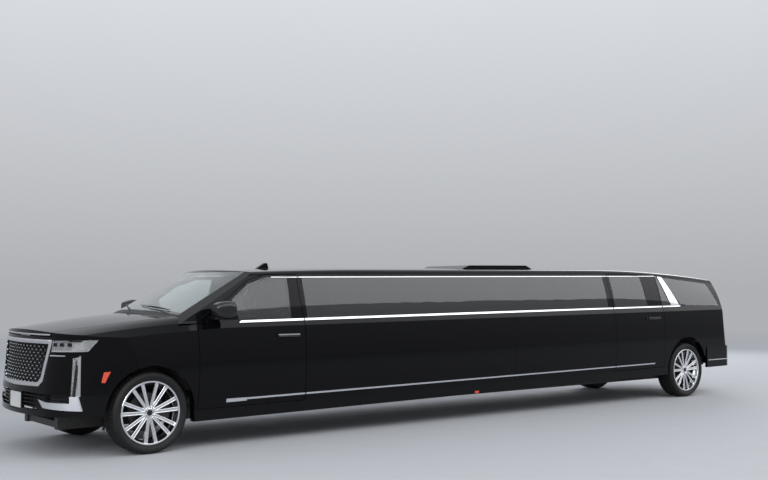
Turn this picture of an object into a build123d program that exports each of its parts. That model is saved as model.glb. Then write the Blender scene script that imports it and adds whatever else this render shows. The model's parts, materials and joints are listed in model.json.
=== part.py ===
# Stretch limousine: a full-size luxury estate car lengthened between its doors
# +X is forward, +Y is the car's left, +Z is up, all sizes in millimetres
# The origin is on the ground under the middle of the car
import os
from math import atan2, cos, degrees, radians, sin, tan

from build123d import *

os.makedirs("parts", exist_ok=True)

# Overall sizes
wheelbase = 8995.0
front_overhang = 1030.0
rear_overhang = 1330.0
body_half_width = 1029.5
body_rake = 0.0100

# Axles, ends and wheels
overall_length = front_overhang + wheelbase + rear_overhang
front_axle_x = overall_length / 2 - front_overhang
rear_axle_x = front_axle_x - wheelbase
nose_x = front_axle_x + front_overhang
rear_end_x = rear_axle_x - rear_overhang
tyre_radius = 412.0
tyre_width = 285.0
rim_radius = 322.5
rim_width = 252.0
wheel_centre_z = tyre_radius
wheel_centre_y = 868.0
hub_face_y = wheel_centre_y + 36.0
arch_radius = 482.0
arch_inner_y = 640.0

# Gaps
door_gap = 7.0
hood_gap = 9.0
panel_seam = 0.8
seat_gap = 0.3
door_draft = 6.5

# Heights of the body side, measured at the B pillar
body_bottom_z = 300.0
door_bottom_z = 425.0
widest_z = 800.0
crease_z = 1258.0
belt_z = 1338.0
roof_rail_z = 1812.0
roof_seam_z = 1830.0
roof_edge_z = 1884.0
roof_top_z = 1916.0

# Half widths of the body side
sill_half_width = 1002.0
crease_half_width = 1006.0
belt_half_width = 968.0
pillar_half_width = 912.0
roof_rail_half_width = 838.0
roof_edge_half_width = 762.0

# Walls: of the doors and lower sides, of the pillars, of the roof, nose and tail
door_wall = 96.0
pillar_wall = 40.0
roof_wall = 34.0
nose_wall = 30.0
tail_wall = 62.0
glass_thickness = 5.0
strip_thickness = 7.0

# Places along the car
b_pillar_x = front_axle_x - 1850.0
cabin_front_x = front_axle_x - 850.0
firewall_x = front_axle_x - 447.0
side_y = body_half_width + 6
far = 12000.0

# Roof drop towards each end: place behind the front axle, drop
front_roof_rows = [(3000.0, 0.0), (1525.0, 20.0), (50.0, 80.0)]
rear_roof_rows = [(wheelbase - 1995, 0.0), (wheelbase - 395, 45.0), (wheelbase + 1255, 185.0)]

# Nose sections: place ahead of the front axle, crease height, shoulder half width and
# height, crown half width and height, height on the centre line
nose_rows = [
    (-850.0, 1248.0, 968.0, 1328.0, 800.0, 1408.0, 1434.0),
    (300.0, 1176.0, 925.0, 1250.0, 704.0, 1308.0, 1346.0),
    (front_overhang + 70, 1106.0, 880.0, 1150.0, 560.0, 1200.0, 1228.0),
]

# Windscreen
windscreen_base_x = front_axle_x - 7.0
windscreen_base_z = 1300.0
windscreen_bow = 220.0
windscreen_bow_y = 800.0
windscreen_run = 907.0
windscreen_rise = 472.0

# Nose and tail in plan
nose_lean = 0.10
nose_lean_z = 620.0
tail_lean_z = 1300.0
tail_centre_x = rear_end_x + 192.0
upper_tail_lean = 0.318
lower_tail_lean = 0.13


def behind(distance):
    """Station at a distance behind the front axle."""
    return front_axle_x - distance


def raked(z, x):
    """Height at station x of a body line that is at height z at the B pillar."""
    return z + body_rake * (b_pillar_x - x)


def both_ways(points):
    """An outline of the left half closed by its mirror image."""
    return points + [(-y, z) for y, z in reversed(points) if y]


def cabin_profile(x, inset=0.0, drop=0.0, fit=0.0):
    """Closed section of the body and roof at station x, drawn inside its skin."""
    rise = raked(0, x)
    wall = fit + (door_wall if inset == pillar_wall else inset)
    top_wall = fit + (roof_wall if inset == pillar_wall else inset)
    inset = inset + fit
    low = (sill_half_width - wall, body_bottom_z - max(wall, 0) + rise)
    sill = (sill_half_width - wall, door_bottom_z + rise)
    wide = (body_half_width - wall, widest_z + rise)
    fold = (crease_half_width - wall, crease_z + rise)
    belt = (belt_half_width - inset, belt_z + rise)
    mid_z = (belt_z + roof_rail_z - drop) / 2 + rise
    rail = (roof_rail_half_width - inset, roof_rail_z + rise - drop)
    edge = (roof_edge_half_width - inset, roof_edge_z - top_wall + rise - drop)
    turn = (rail[0] - 24, rail[1] + (edge[1] - rail[1]) * 0.62)
    top = (0, roof_top_z - top_wall + rise - drop)
    with BuildSketch(Plane.YZ.offset(x)) as section:
        with BuildLine():
            Line((0, low[1]), low)
            Line(low, sill)
            ThreePointArc(sill, wide, fold)
            Line(fold, belt)
            ThreePointArc(belt, (pillar_half_width - inset, mid_z), rail)
            ThreePointArc(rail, turn, edge)
            ThreePointArc(edge, (edge[0] / 2, (edge[1] + 3 * top[1]) / 4), top)
            mirror(about=Plane.YZ)
        make_face()
    return section.sketch


def nose_profile(row, inset=0.0):
    """Closed section of the hood and fenders, drawn inside its skin."""
    place, crease, shoulder_y, shoulder_z, crown_y, crown_z, top_z = row
    x = front_axle_x + place
    rise = raked(0, x)
    low = (sill_half_width - inset, body_bottom_z - max(inset, 0) + rise)
    sill = (sill_half_width - inset, door_bottom_z + rise)
    fold = (crease_half_width - inset, crease)
    shoulder = (shoulder_y - inset, shoulder_z - inset)
    with BuildSketch(Plane.YZ.offset(x)) as section:
        with BuildLine():
            Line((0, low[1]), low)
            Line(low, sill)
            ThreePointArc(sill, (body_half_width - inset, widest_z + rise), fold)
            Line(fold, shoulder)
            crown = TangentArc((0, top_z - inset), (crown_y - inset, crown_z - inset), tangent=(1, 0))
            TangentArc(crown @ 1, shoulder, tangent=crown % 1)
            mirror(about=Plane.YZ)
        make_face()
    return section.sketch


def windscreen_limit(inset=0.0):
    """Everything behind the bowed windscreen surface and above the cowl."""
    base_x = windscreen_base_x - inset * 2
    corner_x = base_x - windscreen_bow
    slope = Vector(-windscreen_run, 0, windscreen_rise).normalized()
    with BuildPart() as limit:
        with BuildSketch(Plane.XY.offset(windscreen_base_z)):
            with BuildLine():
                bow = ThreePointArc((corner_x, windscreen_bow_y), (base_x, 0), (corner_x, -windscreen_bow_y))
                Polyline(
                    bow @ 1, (corner_x - 160, -1100), (-far, -1100),
                    (-far, 1100), (corner_x - 160, 1100), bow @ 0,
                )
            make_face()
        extrude(amount=1500, dir=slope)
    return limit.part


def tail_outline(z, shift=0.0):
    """Plan of the tail at height z, open far to the front."""
    start = (tail_centre_x + 235 + shift, side_y)
    bend = (tail_centre_x + 112 + shift, 966)
    corner = (tail_centre_x + 56 + shift, 845)
    with BuildSketch(Plane.XY.offset(z)) as outline:
        with BuildLine():
            Line((far, 0), (far, side_y))
            Line((far, side_y), start)
            ThreePointArc(start, bend, corner)
            TangentArc((tail_centre_x + shift, 0), corner, tangent=(0, 1))
            mirror(about=Plane.XZ)
        make_face()
    return outline.sketch


def tail_limit(shift=0.0):
    """Everything ahead of the tail surface."""
    with BuildPart() as limit:
        extrude(tail_outline(tail_lean_z, shift), amount=900, dir=(upper_tail_lean, 0, 1))
        extrude(tail_outline(tail_lean_z, shift), amount=tail_lean_z - 200, dir=(-lower_tail_lean, 0, -1))
    return limit.part


def nose_outline(z, shift=0.0):
    """Plan of the nose at height z, open far to the rear."""
    side = (behind(620), body_half_width + 12 - shift)
    wing = (nose_x - 410 - shift, 955 - shift)
    corner = (nose_x - 80 - shift, 625)
    with BuildSketch(Plane.XY.offset(z)) as outline:
        with BuildLine():
            Line((-far, 0), (-far, side[1]))
            Line((-far, side[1]), side)
            ThreePointArc(side, (nose_x - 800, 1022 - shift), wing)
            ThreePointArc(wing, (nose_x - 192 - shift, 822 - shift / 2), corner)
            TangentArc((nose_x - shift, 0), corner, tangent=(0, 1))
            mirror(about=Plane.XZ)
        make_face()
    return outline.sketch


def nose_limit(shift=0.0):
    """Everything behind the nose surface."""
    with BuildPart() as limit:
        extrude(nose_outline(nose_lean_z, shift), amount=900, dir=(-nose_lean, 0, 1))
        extrude(nose_outline(nose_lean_z, shift), amount=nose_lean_z - 100, dir=(0, 0, -1))
    return limit.part


def cabin_form(inset=0.0, fit=0.0):
    """The body behind the hood as one solid, its skin moved in by the wall."""
    back = tail_wall if inset == pillar_wall else inset
    lower_front = firewall_x if inset == pillar_wall else cabin_front_x
    front_rows = [cabin_profile(behind(place), inset, drop, fit) for place, drop in front_roof_rows]
    rear_rows = [cabin_profile(behind(place), inset, drop, fit) for place, drop in rear_roof_rows]
    with BuildPart() as room:
        add(windscreen_limit(inset + fit))
        with BuildSketch(Plane.XZ):
            with Locations((lower_front - far / 2, windscreen_base_z - 500)):
                Rectangle(far, 1100)
        extrude(amount=1200, both=True)
        add(tail_limit(back + fit), mode=Mode.INTERSECT)
    with BuildPart() as body:
        loft([row.face() for row in front_rows])
        loft([front_rows[0].face(), rear_rows[0].face()])
        loft([row.face() for row in rear_rows])
        add(room.part, mode=Mode.INTERSECT)
    return body.part


def nose_form(inset=0.0):
    """The hood, fenders and nose as one solid, its skin moved in by the wall."""
    with BuildPart() as nose:
        loft([nose_profile(row, inset).face() for row in nose_rows])
        add(nose_limit(inset), mode=Mode.INTERSECT)
    return nose.part


def side_region(points, grow=0.0, reach=560.0):
    """Prism through the left side of the car of an outline seen from the side.

    Each point is a distance behind the front axle and a height at the B pillar.
    """
    with BuildPart() as region:
        with BuildSketch(Plane.XZ.offset(-side_y)):
            with BuildLine():
                Polyline(*[(behind(place), raked(z, behind(place))) for place, z in points], close=True)
            make_face()
            if grow:
                offset(amount=grow, kind=Kind.INTERSECTION)
        extrude(amount=reach)
    return region.part


def across(points, low=-1200.0, high=1200.0):
    """Prism across the car of an outline seen from the side, at true heights."""
    with BuildPart() as region:
        with BuildSketch(Plane.XZ.offset(-high)):
            with BuildLine():
                Polyline(*points, close=True)
            make_face()
        extrude(amount=high - low)
    return region.part


def along(points, start, end):
    """Prism along the car between two stations of an outline seen from the front."""
    with BuildPart() as region:
        with BuildSketch(Plane.YZ.offset(start)):
            with BuildLine():
                Polyline(*points, close=True)
            make_face()
        extrude(amount=end - start)
    return region.part


def plan_region(points, low, high):
    """Upright prism of an outline seen from above, left half given."""
    with BuildPart() as region:
        with BuildSketch(Plane.XY.offset(low)):
            with BuildLine():
                Polyline(*points, *[(x, -y) for x, y in reversed(points)], close=True)
            make_face()
        extrude(amount=high - low)
    return region.part


def between(start, end, low=0.0, high=2600.0, inner=-1200.0):
    """Block between two stations, on both sides or only from a half width outwards."""
    return across([(start, low), (end, low), (end, high), (start, high)], inner)


def carve(whole, inside=(), outside=(), with_parts=()):
    """What is left of a solid inside some regions and outside others, with pieces added to it."""
    with BuildPart() as piece:
        add(whole)
        for region in inside:
            add(region, mode=Mode.INTERSECT)
        for region in outside:
            add(region, mode=Mode.SUBTRACT)
        for part in with_parts:
            add(part)
    return piece.part


def mirrored(part):
    """The right-hand copy of a left-hand piece."""
    with BuildPart() as copy:
        add(part)
        mirror(about=Plane.XZ, mode=Mode.REPLACE)
    return copy.part


def pair_of(*parts):
    """Left-hand pieces with their right-hand copies."""
    with BuildPart() as pair:
        for part in parts:
            add(part)
        mirror(about=Plane.XZ)
    return pair.part


def finish(part, name):
    """Label one piece and write it."""
    part.label = name
    export_step(part, f"parts/{name}.step")


# Wheel arches: place behind the front axle, height of the centre
arch_rows = [(0.0, wheel_centre_z - 7), (wheelbase, wheel_centre_z + 30)]
with BuildPart() as arches:
    for place, height in arch_rows:
        with BuildSketch(Plane.XZ.offset(-arch_inner_y)):
            with Locations((behind(place), height)):
                Circle(arch_radius)
            with Locations((behind(place), height - arch_radius)):
                Rectangle(2 * arch_radius, 2 * arch_radius)
        extrude(amount=arch_inner_y - 1200)
    mirror(about=Plane.XZ)

# Body shell, still in one piece
cabin_outer = cabin_form()
with BuildPart() as shell:
    add(cabin_outer)
    add(nose_form())
    add(cabin_form(pillar_wall), mode=Mode.SUBTRACT)
    add(carve(nose_form(nose_wall), inside=[between(firewall_x + 10, far)]), mode=Mode.SUBTRACT)
    add(arches.part, mode=Mode.SUBTRACT)
left_shell = carve(shell.part, inside=[between(-far, far, -100, 2600, 0)])

# Side doors, each a side outline with the hinge pin's cylinder at its leading edge
hinge_radius = 60.0
hinge_y = 985.0
door_swing = 65.0
door_top_z = roof_seam_z - door_gap
rear_hinge = wheelbase - 1670
door_rows = {
    "front": {
        "hinge": 575.0,
        "hinge_top": 1290.0,
        "rear": 1856.0,
        "outline": [
            (575, door_bottom_z), (1990, door_bottom_z), (1990, door_top_z), (1430, door_top_z - 2),
            (1198, 1762), (949, 1590), (560, 1352), (530, 1290), (575, 1290),
        ],
    },
    "rear": {
        "hinge": rear_hinge,
        "hinge_top": 1345.0,
        "rear": rear_hinge + 1100,
        "outline": [
            (rear_hinge, door_bottom_z), (rear_hinge + 1235, door_bottom_z),
            (rear_hinge + 1235, door_top_z - 36), (rear_hinge + 675, door_top_z - 14),
            (rear_hinge + 275, door_top_z - 4), (rear_hinge - 57, door_top_z),
            (rear_hinge - 57, 1345), (rear_hinge, 1345),
        ],
    },
}

# Door hinges: arms on the pillar with eyes round pins that stand in slots of the door
pin_radius = 9.0
eye_radius = 20.0
arm_height = 46.0
arm_width = 17.0
arm_clearance = 3.0
arm_run = 52.0
arm_drop = 60.0
hinge_heights = [640.0, 960.0]


def door_region(row, grow=0.0):
    """Space that a closed door fills, grown by the gap round it."""
    hinge_x = behind(row["hinge"])
    low = raked(door_bottom_z, hinge_x) - grow
    high = raked(row["hinge_top"], hinge_x) + grow
    rear_x = behind(row["rear"]) - grow
    reach = 560.0
    with BuildPart() as region:
        add(side_region(row["outline"], grow))
        with BuildSketch(Plane.XY.offset(body_bottom_z)):
            with BuildLine():
                Polyline(
                    (rear_x, side_y), (rear_x + reach * tan(radians(door_draft)), side_y - reach),
                    (far, side_y - reach), (far, side_y), close=True,
                )
            make_face()
        extrude(amount=2000, mode=Mode.INTERSECT)
        with BuildSketch(Plane.XY.offset(low)):
            with Locations((hinge_x, hinge_y)):
                Circle(hinge_radius + grow)
        extrude(amount=high - low)
    return region.part


def hinge_pockets(row):
    """Slots in the door's leading edge that the fixed arms turn in, without the pins."""
    x = behind(row["hinge"])
    radius = hinge_radius + 10
    closed = -degrees(atan2(arm_drop, arm_run))
    turns = [closed - 4, closed + door_swing / 2, closed + door_swing + 2]
    ends = [(x + radius * cos(radians(a)), hinge_y + radius * sin(radians(a))) for a in turns]
    with BuildPart() as pockets:
        for z in hinge_heights:
            with BuildSketch(Plane.XY.offset(raked(z, x) - arm_height / 2 - arm_clearance)):
                with BuildLine():
                    Line((x, hinge_y), ends[0])
                    ThreePointArc(*ends)
                    Line(ends[2], (x, hinge_y))
                make_face()
                for end in (ends[0], ends[2]):
                    with BuildLine():
                        side = Line((x, hinge_y), end)
                    trace(side, line_width=arm_width + 2 * arm_clearance)
                with Locations((x, hinge_y)):
                    Circle(eye_radius + arm_clearance)
                    Circle(pin_radius, mode=Mode.SUBTRACT)
            extrude(amount=arm_height + 2 * arm_clearance)
    return pockets.part


def hinge_arms(row):
    """Fixed arms from the pillar's inner face to the eyes round the hinge pins."""
    x = behind(row["hinge"])
    with BuildPart() as arms:
        for z in hinge_heights:
            with BuildSketch(Plane.XY.offset(raked(z, x) - arm_height / 2)):
                with BuildLine():
                    route = Polyline(
                        (x, hinge_y), (x + arm_run, hinge_y - arm_drop),
                        (x + 2 * arm_run, hinge_y - arm_drop),
                    )
                trace(route, line_width=arm_width)
                with Locations((x, hinge_y)):
                    Circle(eye_radius)
                    Circle(pin_radius + seat_gap, mode=Mode.SUBTRACT)
            extrude(amount=arm_height)
    return arms.part


# Windows, each an opening seen from the side; the glass laps over its edges
window_lap = 22.0
quarter_front = wheelbase - 555
window_rows = {
    "front_door": [(1046, 1362), (985, 1545), (1205, 1702), (1434, 1772), (1690, 1786), (1668, 1362)],
    "centre": [(1930, 1352), (1930, 1786), (rear_hinge - 175, 1786), (rear_hinge - 175, 1362)],
    "rear_door": [
        (rear_hinge + 20, 1368), (rear_hinge + 20, 1780), (rear_hinge + 705, 1762), (rear_hinge + 735, 1360),
    ],
    "quarter": [
        (quarter_front + 490, 1366), (quarter_front + 160, 1752), (quarter_front + 1290, 1650),
        (quarter_front + 1440, 1346),
    ],
}
glass_sheet = carve(cabin_outer, outside=[cabin_form(glass_thickness)])
rebate_sheet = carve(cabin_form(-2.0), outside=[cabin_form(glass_thickness + seat_gap)])


def glazed(panel, name):
    """A panel with one window and its rebate cut, and the glass that laps on it."""
    row = window_rows[name]
    rebate = carve(rebate_sheet, inside=[side_region(row, window_lap + 2)])
    glass = carve(glass_sheet, inside=[side_region(row, window_lap)])
    return carve(panel, outside=[side_region(row), rebate]), glass


front_door_space = door_region(door_rows["front"], door_gap)
rear_door_space = door_region(door_rows["rear"], door_gap)
front_door, front_door_glass = glazed(
    carve(left_shell, inside=[door_region(door_rows["front"])], outside=[hinge_pockets(door_rows["front"])]),
    "front_door",
)
rear_door, rear_door_glass = glazed(
    carve(left_shell, inside=[door_region(door_rows["rear"])], outside=[hinge_pockets(door_rows["rear"])]),
    "rear_door",
)

# Roof edge above the doors and windscreen pillars: place, height from the roof seam
roof_edge_rows = [
    (wheelbase + 1505, -208), (wheelbase + 1005, -152), (wheelbase + 405, -94), (wheelbase - 395, -40),
    (wheelbase - 995, -14), (wheelbase - 1395, -4), (wheelbase - 1727, 0), (1430, 0),
    (1198, -64), (949, -238), (560, -478), (300, -478),
]


def roof_region(seam=0.0):
    """Everything above the roof seam, with the windscreen pillars."""
    edge = [(place, roof_seam_z + z - seam) for place, z in roof_edge_rows]
    return side_region([(300, 2300), (wheelbase + 1505, 2300)] + edge, reach=2 * side_y)


# Front end outlines, true heights from the ground
hood_rear = 190.0
hood_front_z = 1196.0
hood_side_rows = [
    (-hood_rear, 776.0), (-130.0, 776.0), (321.0, 716.0), (front_overhang - 230, 632.0),
    (front_overhang + 120, 590.0),
]
bumper_rear = front_overhang - 533
bumper_top_z = 1040.0
bumper_low_z = 411.0
recess_half_width = 640.0
recess_top_z = hood_front_z - hood_gap
cowl_half_width = 768.0
cowl_top_z = 1449.0
grille_front = nose_x - 330
grille_end = nose_x + 170
headlamp_rows = [
    (front_overhang - 482, 1157), (front_overhang - 390, 1046), (front_overhang + 70, 1036),
    (front_overhang + 70, 1148),
]


def hood_region(grow=0.0):
    rows = [(front_axle_x + x, y + grow) for x, y in hood_side_rows]
    rows[0] = (rows[0][0] - grow, rows[0][1])
    return plan_region(rows, hood_front_z - grow, 1700)


def headlamp_region(grow=0.0):
    with BuildPart() as region:
        with BuildSketch(Plane.XZ.offset(-recess_half_width - 8 + grow)):
            with BuildLine():
                Polyline(*[(front_axle_x + x, z) for x, z in headlamp_rows], close=True)
            make_face()
            if grow:
                offset(amount=grow, kind=Kind.INTERSECTION)
        extrude(amount=-500)
    return region.part


def cowl_region(grow=0.0, low=1299.0, high=cowl_top_z):
    front = hood_rear if grow else hood_rear + hood_gap
    return plan_region(
        [(behind(704), cowl_half_width + grow), (behind(front), cowl_half_width + grow)], low, high + grow,
    )


left_rest = carve(left_shell, outside=[front_door_space, rear_door_space])
left_below = carve(left_rest, outside=[roof_region(panel_seam)])
shell_front = carve(shell.part, inside=[between(behind(700), far)])
left_front = carve(left_shell, inside=[between(behind(700), far)])

# Windscreen, with its opening in the roof and pillars
windscreen_slab = carve(windscreen_limit(-2), outside=[windscreen_limit(62)])
screen_outline = both_ways([(0, 1447), (420, 1436), (785, 1398), (700, 1838)])
screen_lap = both_ways([(0, 1435), (420, 1424), (800, 1384), (714, 1850)])
screen_space = carve(along(screen_outline, behind(1400), front_axle_x), inside=[windscreen_slab])
lap_space = carve(along(screen_lap, behind(1400), front_axle_x), inside=[windscreen_slab])
screen_rebate = carve(rebate_sheet, inside=[lap_space])
windscreen = carve(glass_sheet, inside=[lap_space])
cowl_panel = carve(shell_front, inside=[cowl_region()], outside=[screen_space, screen_rebate])
hood = carve(shell_front, inside=[hood_region()])
headlamp = carve(left_front, inside=[headlamp_region()])

# Grille: shield outlines seen from the front, the bright surround and the mesh behind it
surround_outer = both_ways([(0, 690), (505, 700), (566, 748), (640, 1120), (634, 1158), (0, 1158)])
surround_inner = both_ways([(0, 730), (482, 738), (530, 776), (602, 1100), (598, 1120), (0, 1120)])
surround_hole = both_ways([
    (0, 689.7), (505.2, 699.7), (566.3, 747.8), (640.3, 1120), (634.3, 1158.3), (0, 1158.3),
])
mesh_outline = both_ways([(0, 716), (490, 724), (542, 768), (616, 1102), (610, 1134), (0, 1134)])
mesh_inner = both_ways([(0, 728), (484, 736), (532, 775), (604, 1101), (599, 1122), (0, 1122)])
mesh_depth = 24.3
mesh_thickness = 8.0
mesh_rows = 12
mesh_columns = 14
mesh_pitch_y = 86.0
mesh_pitch_z = 64.0
mesh_bar = 9.0
with BuildPart() as mesh_holes:
    with BuildSketch(Plane.YZ.offset(grille_front)):
        for shift_y, shift_z in ((0, 0), (mesh_pitch_y / 2, mesh_pitch_z / 2)):
            with Locations((shift_y, 926 + shift_z)):
                with GridLocations(mesh_pitch_y, mesh_pitch_z, mesh_columns, mesh_rows // 2 + 1):
                    Polygon(
                        (mesh_pitch_y / 2 - mesh_bar, 0), (0, mesh_pitch_z / 2 - mesh_bar * 0.75),
                        (mesh_bar - mesh_pitch_y / 2, 0), (0, mesh_bar * 0.75 - mesh_pitch_z / 2),
                    )
        with BuildLine():
            Polyline(*mesh_inner, close=True)
        make_face(mode=Mode.INTERSECT)
    extrude(amount=grille_end - grille_front)
grille_surround = carve(
    nose_limit(-6),
    inside=[along(surround_outer, grille_front, grille_end)],
    outside=[nose_limit(24), along(surround_inner, grille_front, grille_end)],
)
grille_mesh = carve(
    nose_limit(mesh_depth),
    inside=[along(mesh_outline, grille_front, grille_end)],
    outside=[nose_limit(mesh_depth + mesh_thickness), mesh_holes.part],
)

# Lower grille in the bumper: two openings beside the number plate, with slats
plate_width = 330.0
plate_height = 180.0
plate_pitch_y = 177.8
plate_pitch_z = 120.65
plate_hole_radius = 3.2
intake_rows = [(185, 470), (500, 470), (560, 520), (842, 540), (836, 622), (185, 636)]
slat_reach = [(175, 460), (500, 460), (560, 510), (852, 530), (846, 632), (175, 646)]
slat_heights = [497.0, 533.0, 569.0, 605.0]
slat_thickness = 9.0
intake_space = along(intake_rows, grille_front, grille_end)
with BuildPart() as slat_blocks:
    for height in slat_heights:
        with BuildSketch(Plane.XY.offset(height - slat_thickness / 2)):
            with Locations((nose_x - 300, 500)):
                Rectangle(700, 720)
        extrude(amount=slat_thickness)
slats = carve(
    nose_limit(8),
    inside=[slat_blocks.part, along(slat_reach, grille_front, grille_end)],
    outside=[nose_limit(28)],
)

# Bumper, with the recess above the grille
lamp_outline = [(872, 500), (858, 985), (892, 990), (908, 500)]
running_lamp_space = along(lamp_outline, nose_x - 430, grille_end)
running_lamp = carve(left_front, inside=[running_lamp_space])


def plate_seat(face_x, z, facing, reach):
    """Recess cut back to a flat face, with the screw holes behind it."""
    with BuildPart() as seat:
        with BuildSketch(Plane.YZ.offset(face_x)):
            with Locations((0, z)):
                Rectangle(plate_width, plate_height)
        extrude(amount=facing * 200)
        with BuildSketch(Plane.YZ.offset(face_x - facing * reach)):
            with Locations((0, z)):
                with GridLocations(plate_pitch_y, plate_pitch_z, 2, 2):
                    Circle(plate_hole_radius)
        extrude(amount=facing * (reach + 1))
    return seat.part


stop_y = 400.0
stop_radius = 8.0
with BuildPart() as hood_stops:
    with BuildSketch(Plane.XY.offset(recess_top_z - 6)):
        with Locations((nose_x - 105, stop_y), (nose_x - 105, -stop_y)):
            Circle(stop_radius)
    extrude(amount=hood_gap + 6 - seat_gap)

front_plate_x = nose_x - 14
front_plate_z = 539.0
with BuildPart() as front_bumper:
    add(shell_front)
    with BuildSketch(Plane.XZ.offset(-1200)):
        with BuildLine():
            Polyline(
                (front_axle_x + bumper_rear, bumper_low_z), (far, bumper_low_z), (far, recess_top_z),
                (grille_front, recess_top_z), (grille_front, bumper_top_z),
                (front_axle_x + bumper_rear, bumper_top_z), close=True,
            )
        make_face()
    extrude(amount=2400, mode=Mode.INTERSECT)
    for side in (1, -1):
        with BuildSketch(Plane.XZ.offset(-side * (recess_half_width + panel_seam))):
            with Locations((nose_x, bumper_top_z + panel_seam + 200)):
                Rectangle(1100, 400)
        extrude(amount=-side * 500, mode=Mode.SUBTRACT)
    add(hood_stops.part)
    add(along(surround_hole, grille_front, grille_end), mode=Mode.SUBTRACT)
    add(plate_seat(front_plate_x, front_plate_z, 1, 60), mode=Mode.SUBTRACT)
    for region in (headlamp_region(panel_seam), running_lamp_space, intake_space):
        add(region, mode=Mode.SUBTRACT)
        add(mirrored(region), mode=Mode.SUBTRACT)
    add(slats)
    add(mirrored(slats))

# Front fenders, with the seam to each neighbour
fender_hole = plan_region([(firewall_x - 50, 881.7), (firewall_x + 60, 881.7)], 200, 1299)
fender = carve(
    left_below,
    inside=[between(behind(640), far, inner=0)],
    outside=[
        hood_region(hood_gap), headlamp_region(panel_seam), fender_hole, cowl_region(panel_seam, 1200, 1460),
        between(front_axle_x + bumper_rear - panel_seam, far, 0, bumper_top_z + panel_seam, 0),
        along([
            (0, 900), (0, recess_top_z + panel_seam),
            (recess_half_width + panel_seam, recess_top_z + panel_seam),
            (recess_half_width + panel_seam, 900),
        ], grille_front, grille_end),
        side_region([
            (480 - panel_seam, 100), (480 - panel_seam, door_bottom_z - door_gap + panel_seam),
            (wheelbase, door_bottom_z - door_gap + panel_seam), (wheelbase, 100),
        ]),
    ],
)
firewall = carve(
    shell_front, inside=[plan_region([(firewall_x - 1, 881), (firewall_x + 11, 881)], 455, 1298.6)],
)

# Side panels, sills and quarter panels
sill_top_z = door_bottom_z - door_gap
sill_seam_z = sill_top_z + panel_seam
groove_place = 5203.0
groove_width = 3.0
centre_space = side_region([
    (1700, sill_seam_z), (1700, 2000), (rear_hinge + 175, 2000), (rear_hinge + 175, sill_seam_z),
])
sill_space = side_region([(480, 100), (480, sill_top_z), (8700, sill_top_z), (8700, 100)])
quarter_space = side_region([
    (8380, sill_seam_z), (8380, 2300), (10900, 2300), (10900, 655), (9470, 655), (9470, 560),
    (9400, sill_seam_z),
])
groove = carve(
    side_region([
        (groove_place, 420), (groove_place, 1300), (groove_place + groove_width, 1300),
        (groove_place + groove_width, 420),
    ]),
    outside=[cabin_form(4)],
)

# Tail regions, true heights from the ground
bumper_low = 432.0
bumper_high = 756.0
gate_low_z = 790.0
gate_hinge_x = behind(wheelbase + 848)
tail_x = rear_end_x - 300
tail_slab = carve(tail_limit(-4), outside=[tail_limit(80)])
gate_rows = [(862, gate_low_z), (862, 1300), (726, 1745), (720, 2100)]
gate_space = along(both_ways(gate_rows), gate_hinge_x, tail_x)
gate_hole = along(
    both_ways([(869, 783), (869, 1301), (733, 1746), (727, 2100)]), gate_hinge_x + door_gap, tail_x,
)
gate_window = carve(
    along(both_ways([(690, 1345), (590, 1720)]), gate_hinge_x - 60, tail_x), inside=[tail_slab],
)
gate_rebate = carve(
    along(both_ways([(718, 1320), (606, 1744)]), gate_hinge_x - 60, tail_x), inside=[tail_slab, rebate_sheet],
)
gate_lap = along(both_ways([(716, 1322), (604, 1742)]), gate_hinge_x - 60, tail_x)
tail_lamp_space = carve(
    along([
        (875, 800), (875, 1301), (740, 1746), (740, 1800), (772, 1800), (915, 1301), (915, 800),
    ], behind(wheelbase + 505), tail_x),
    inside=[tail_slab],
)
tail_lamp_hole = carve(
    along([
        (850, 799), (850, 1301), (710, 1746), (710, 1801), (773, 1801), (916, 1301), (916, 799),
    ], behind(wheelbase + 505), tail_x),
    inside=[tail_slab],
)
rear_plate_x = tail_centre_x - 22
rear_plate_z = 1020.0
shell_tail = carve(shell.part, inside=[between(behind(wheelbase + 305), -far)])
tailgate = carve(
    shell_tail, inside=[gate_space],
    outside=[gate_window, gate_rebate, plate_seat(rear_plate_x, rear_plate_z, -1, 120)],
)
tailgate_glass = carve(glass_sheet, inside=[gate_lap, tail_slab])
tail_lamp = carve(left_shell, inside=[tail_lamp_space])

with BuildPart() as gate_stop:
    with BuildSketch(Plane.XY.offset(gate_low_z - door_gap - 6)):
        with Locations((rear_end_x + 160, 560)):
            Circle(10)
    extrude(amount=door_gap + 6 - seat_gap)
centre_side, centre_glass = glazed(carve(left_below, inside=[centre_space], outside=[groove]), "centre")
quarter, quarter_glass = glazed(
    carve(
        left_below, inside=[quarter_space],
        outside=[
            gate_hole, tail_lamp_hole, between(-far, behind(wheelbase + 485), 0, bumper_high + seat_gap, 0),
        ],
    ),
    "quarter",
)
sill = carve(left_below, inside=[sill_space])
roof_panel = carve(
    shell.part, inside=[roof_region()],
    outside=[
        front_door_space, rear_door_space, mirrored(front_door_space), mirrored(rear_door_space),
        gate_hole, hood_region(hood_gap), screen_space, screen_rebate, cowl_region(panel_seam, 1200),
        tail_lamp_hole, mirrored(tail_lamp_hole),
    ],
)

# Small fixed pane between the rear door and the slash
pane_row = [(8448, 1795), (8472, 1795), (8636, 1352), (8448, 1352)]
pane_glass = carve(glass_sheet, inside=[side_region(pane_row)])
pane_rebate = carve(rebate_sheet, inside=[side_region(pane_row, seat_gap)])
quarter = carve(quarter, outside=[pane_rebate])

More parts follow.
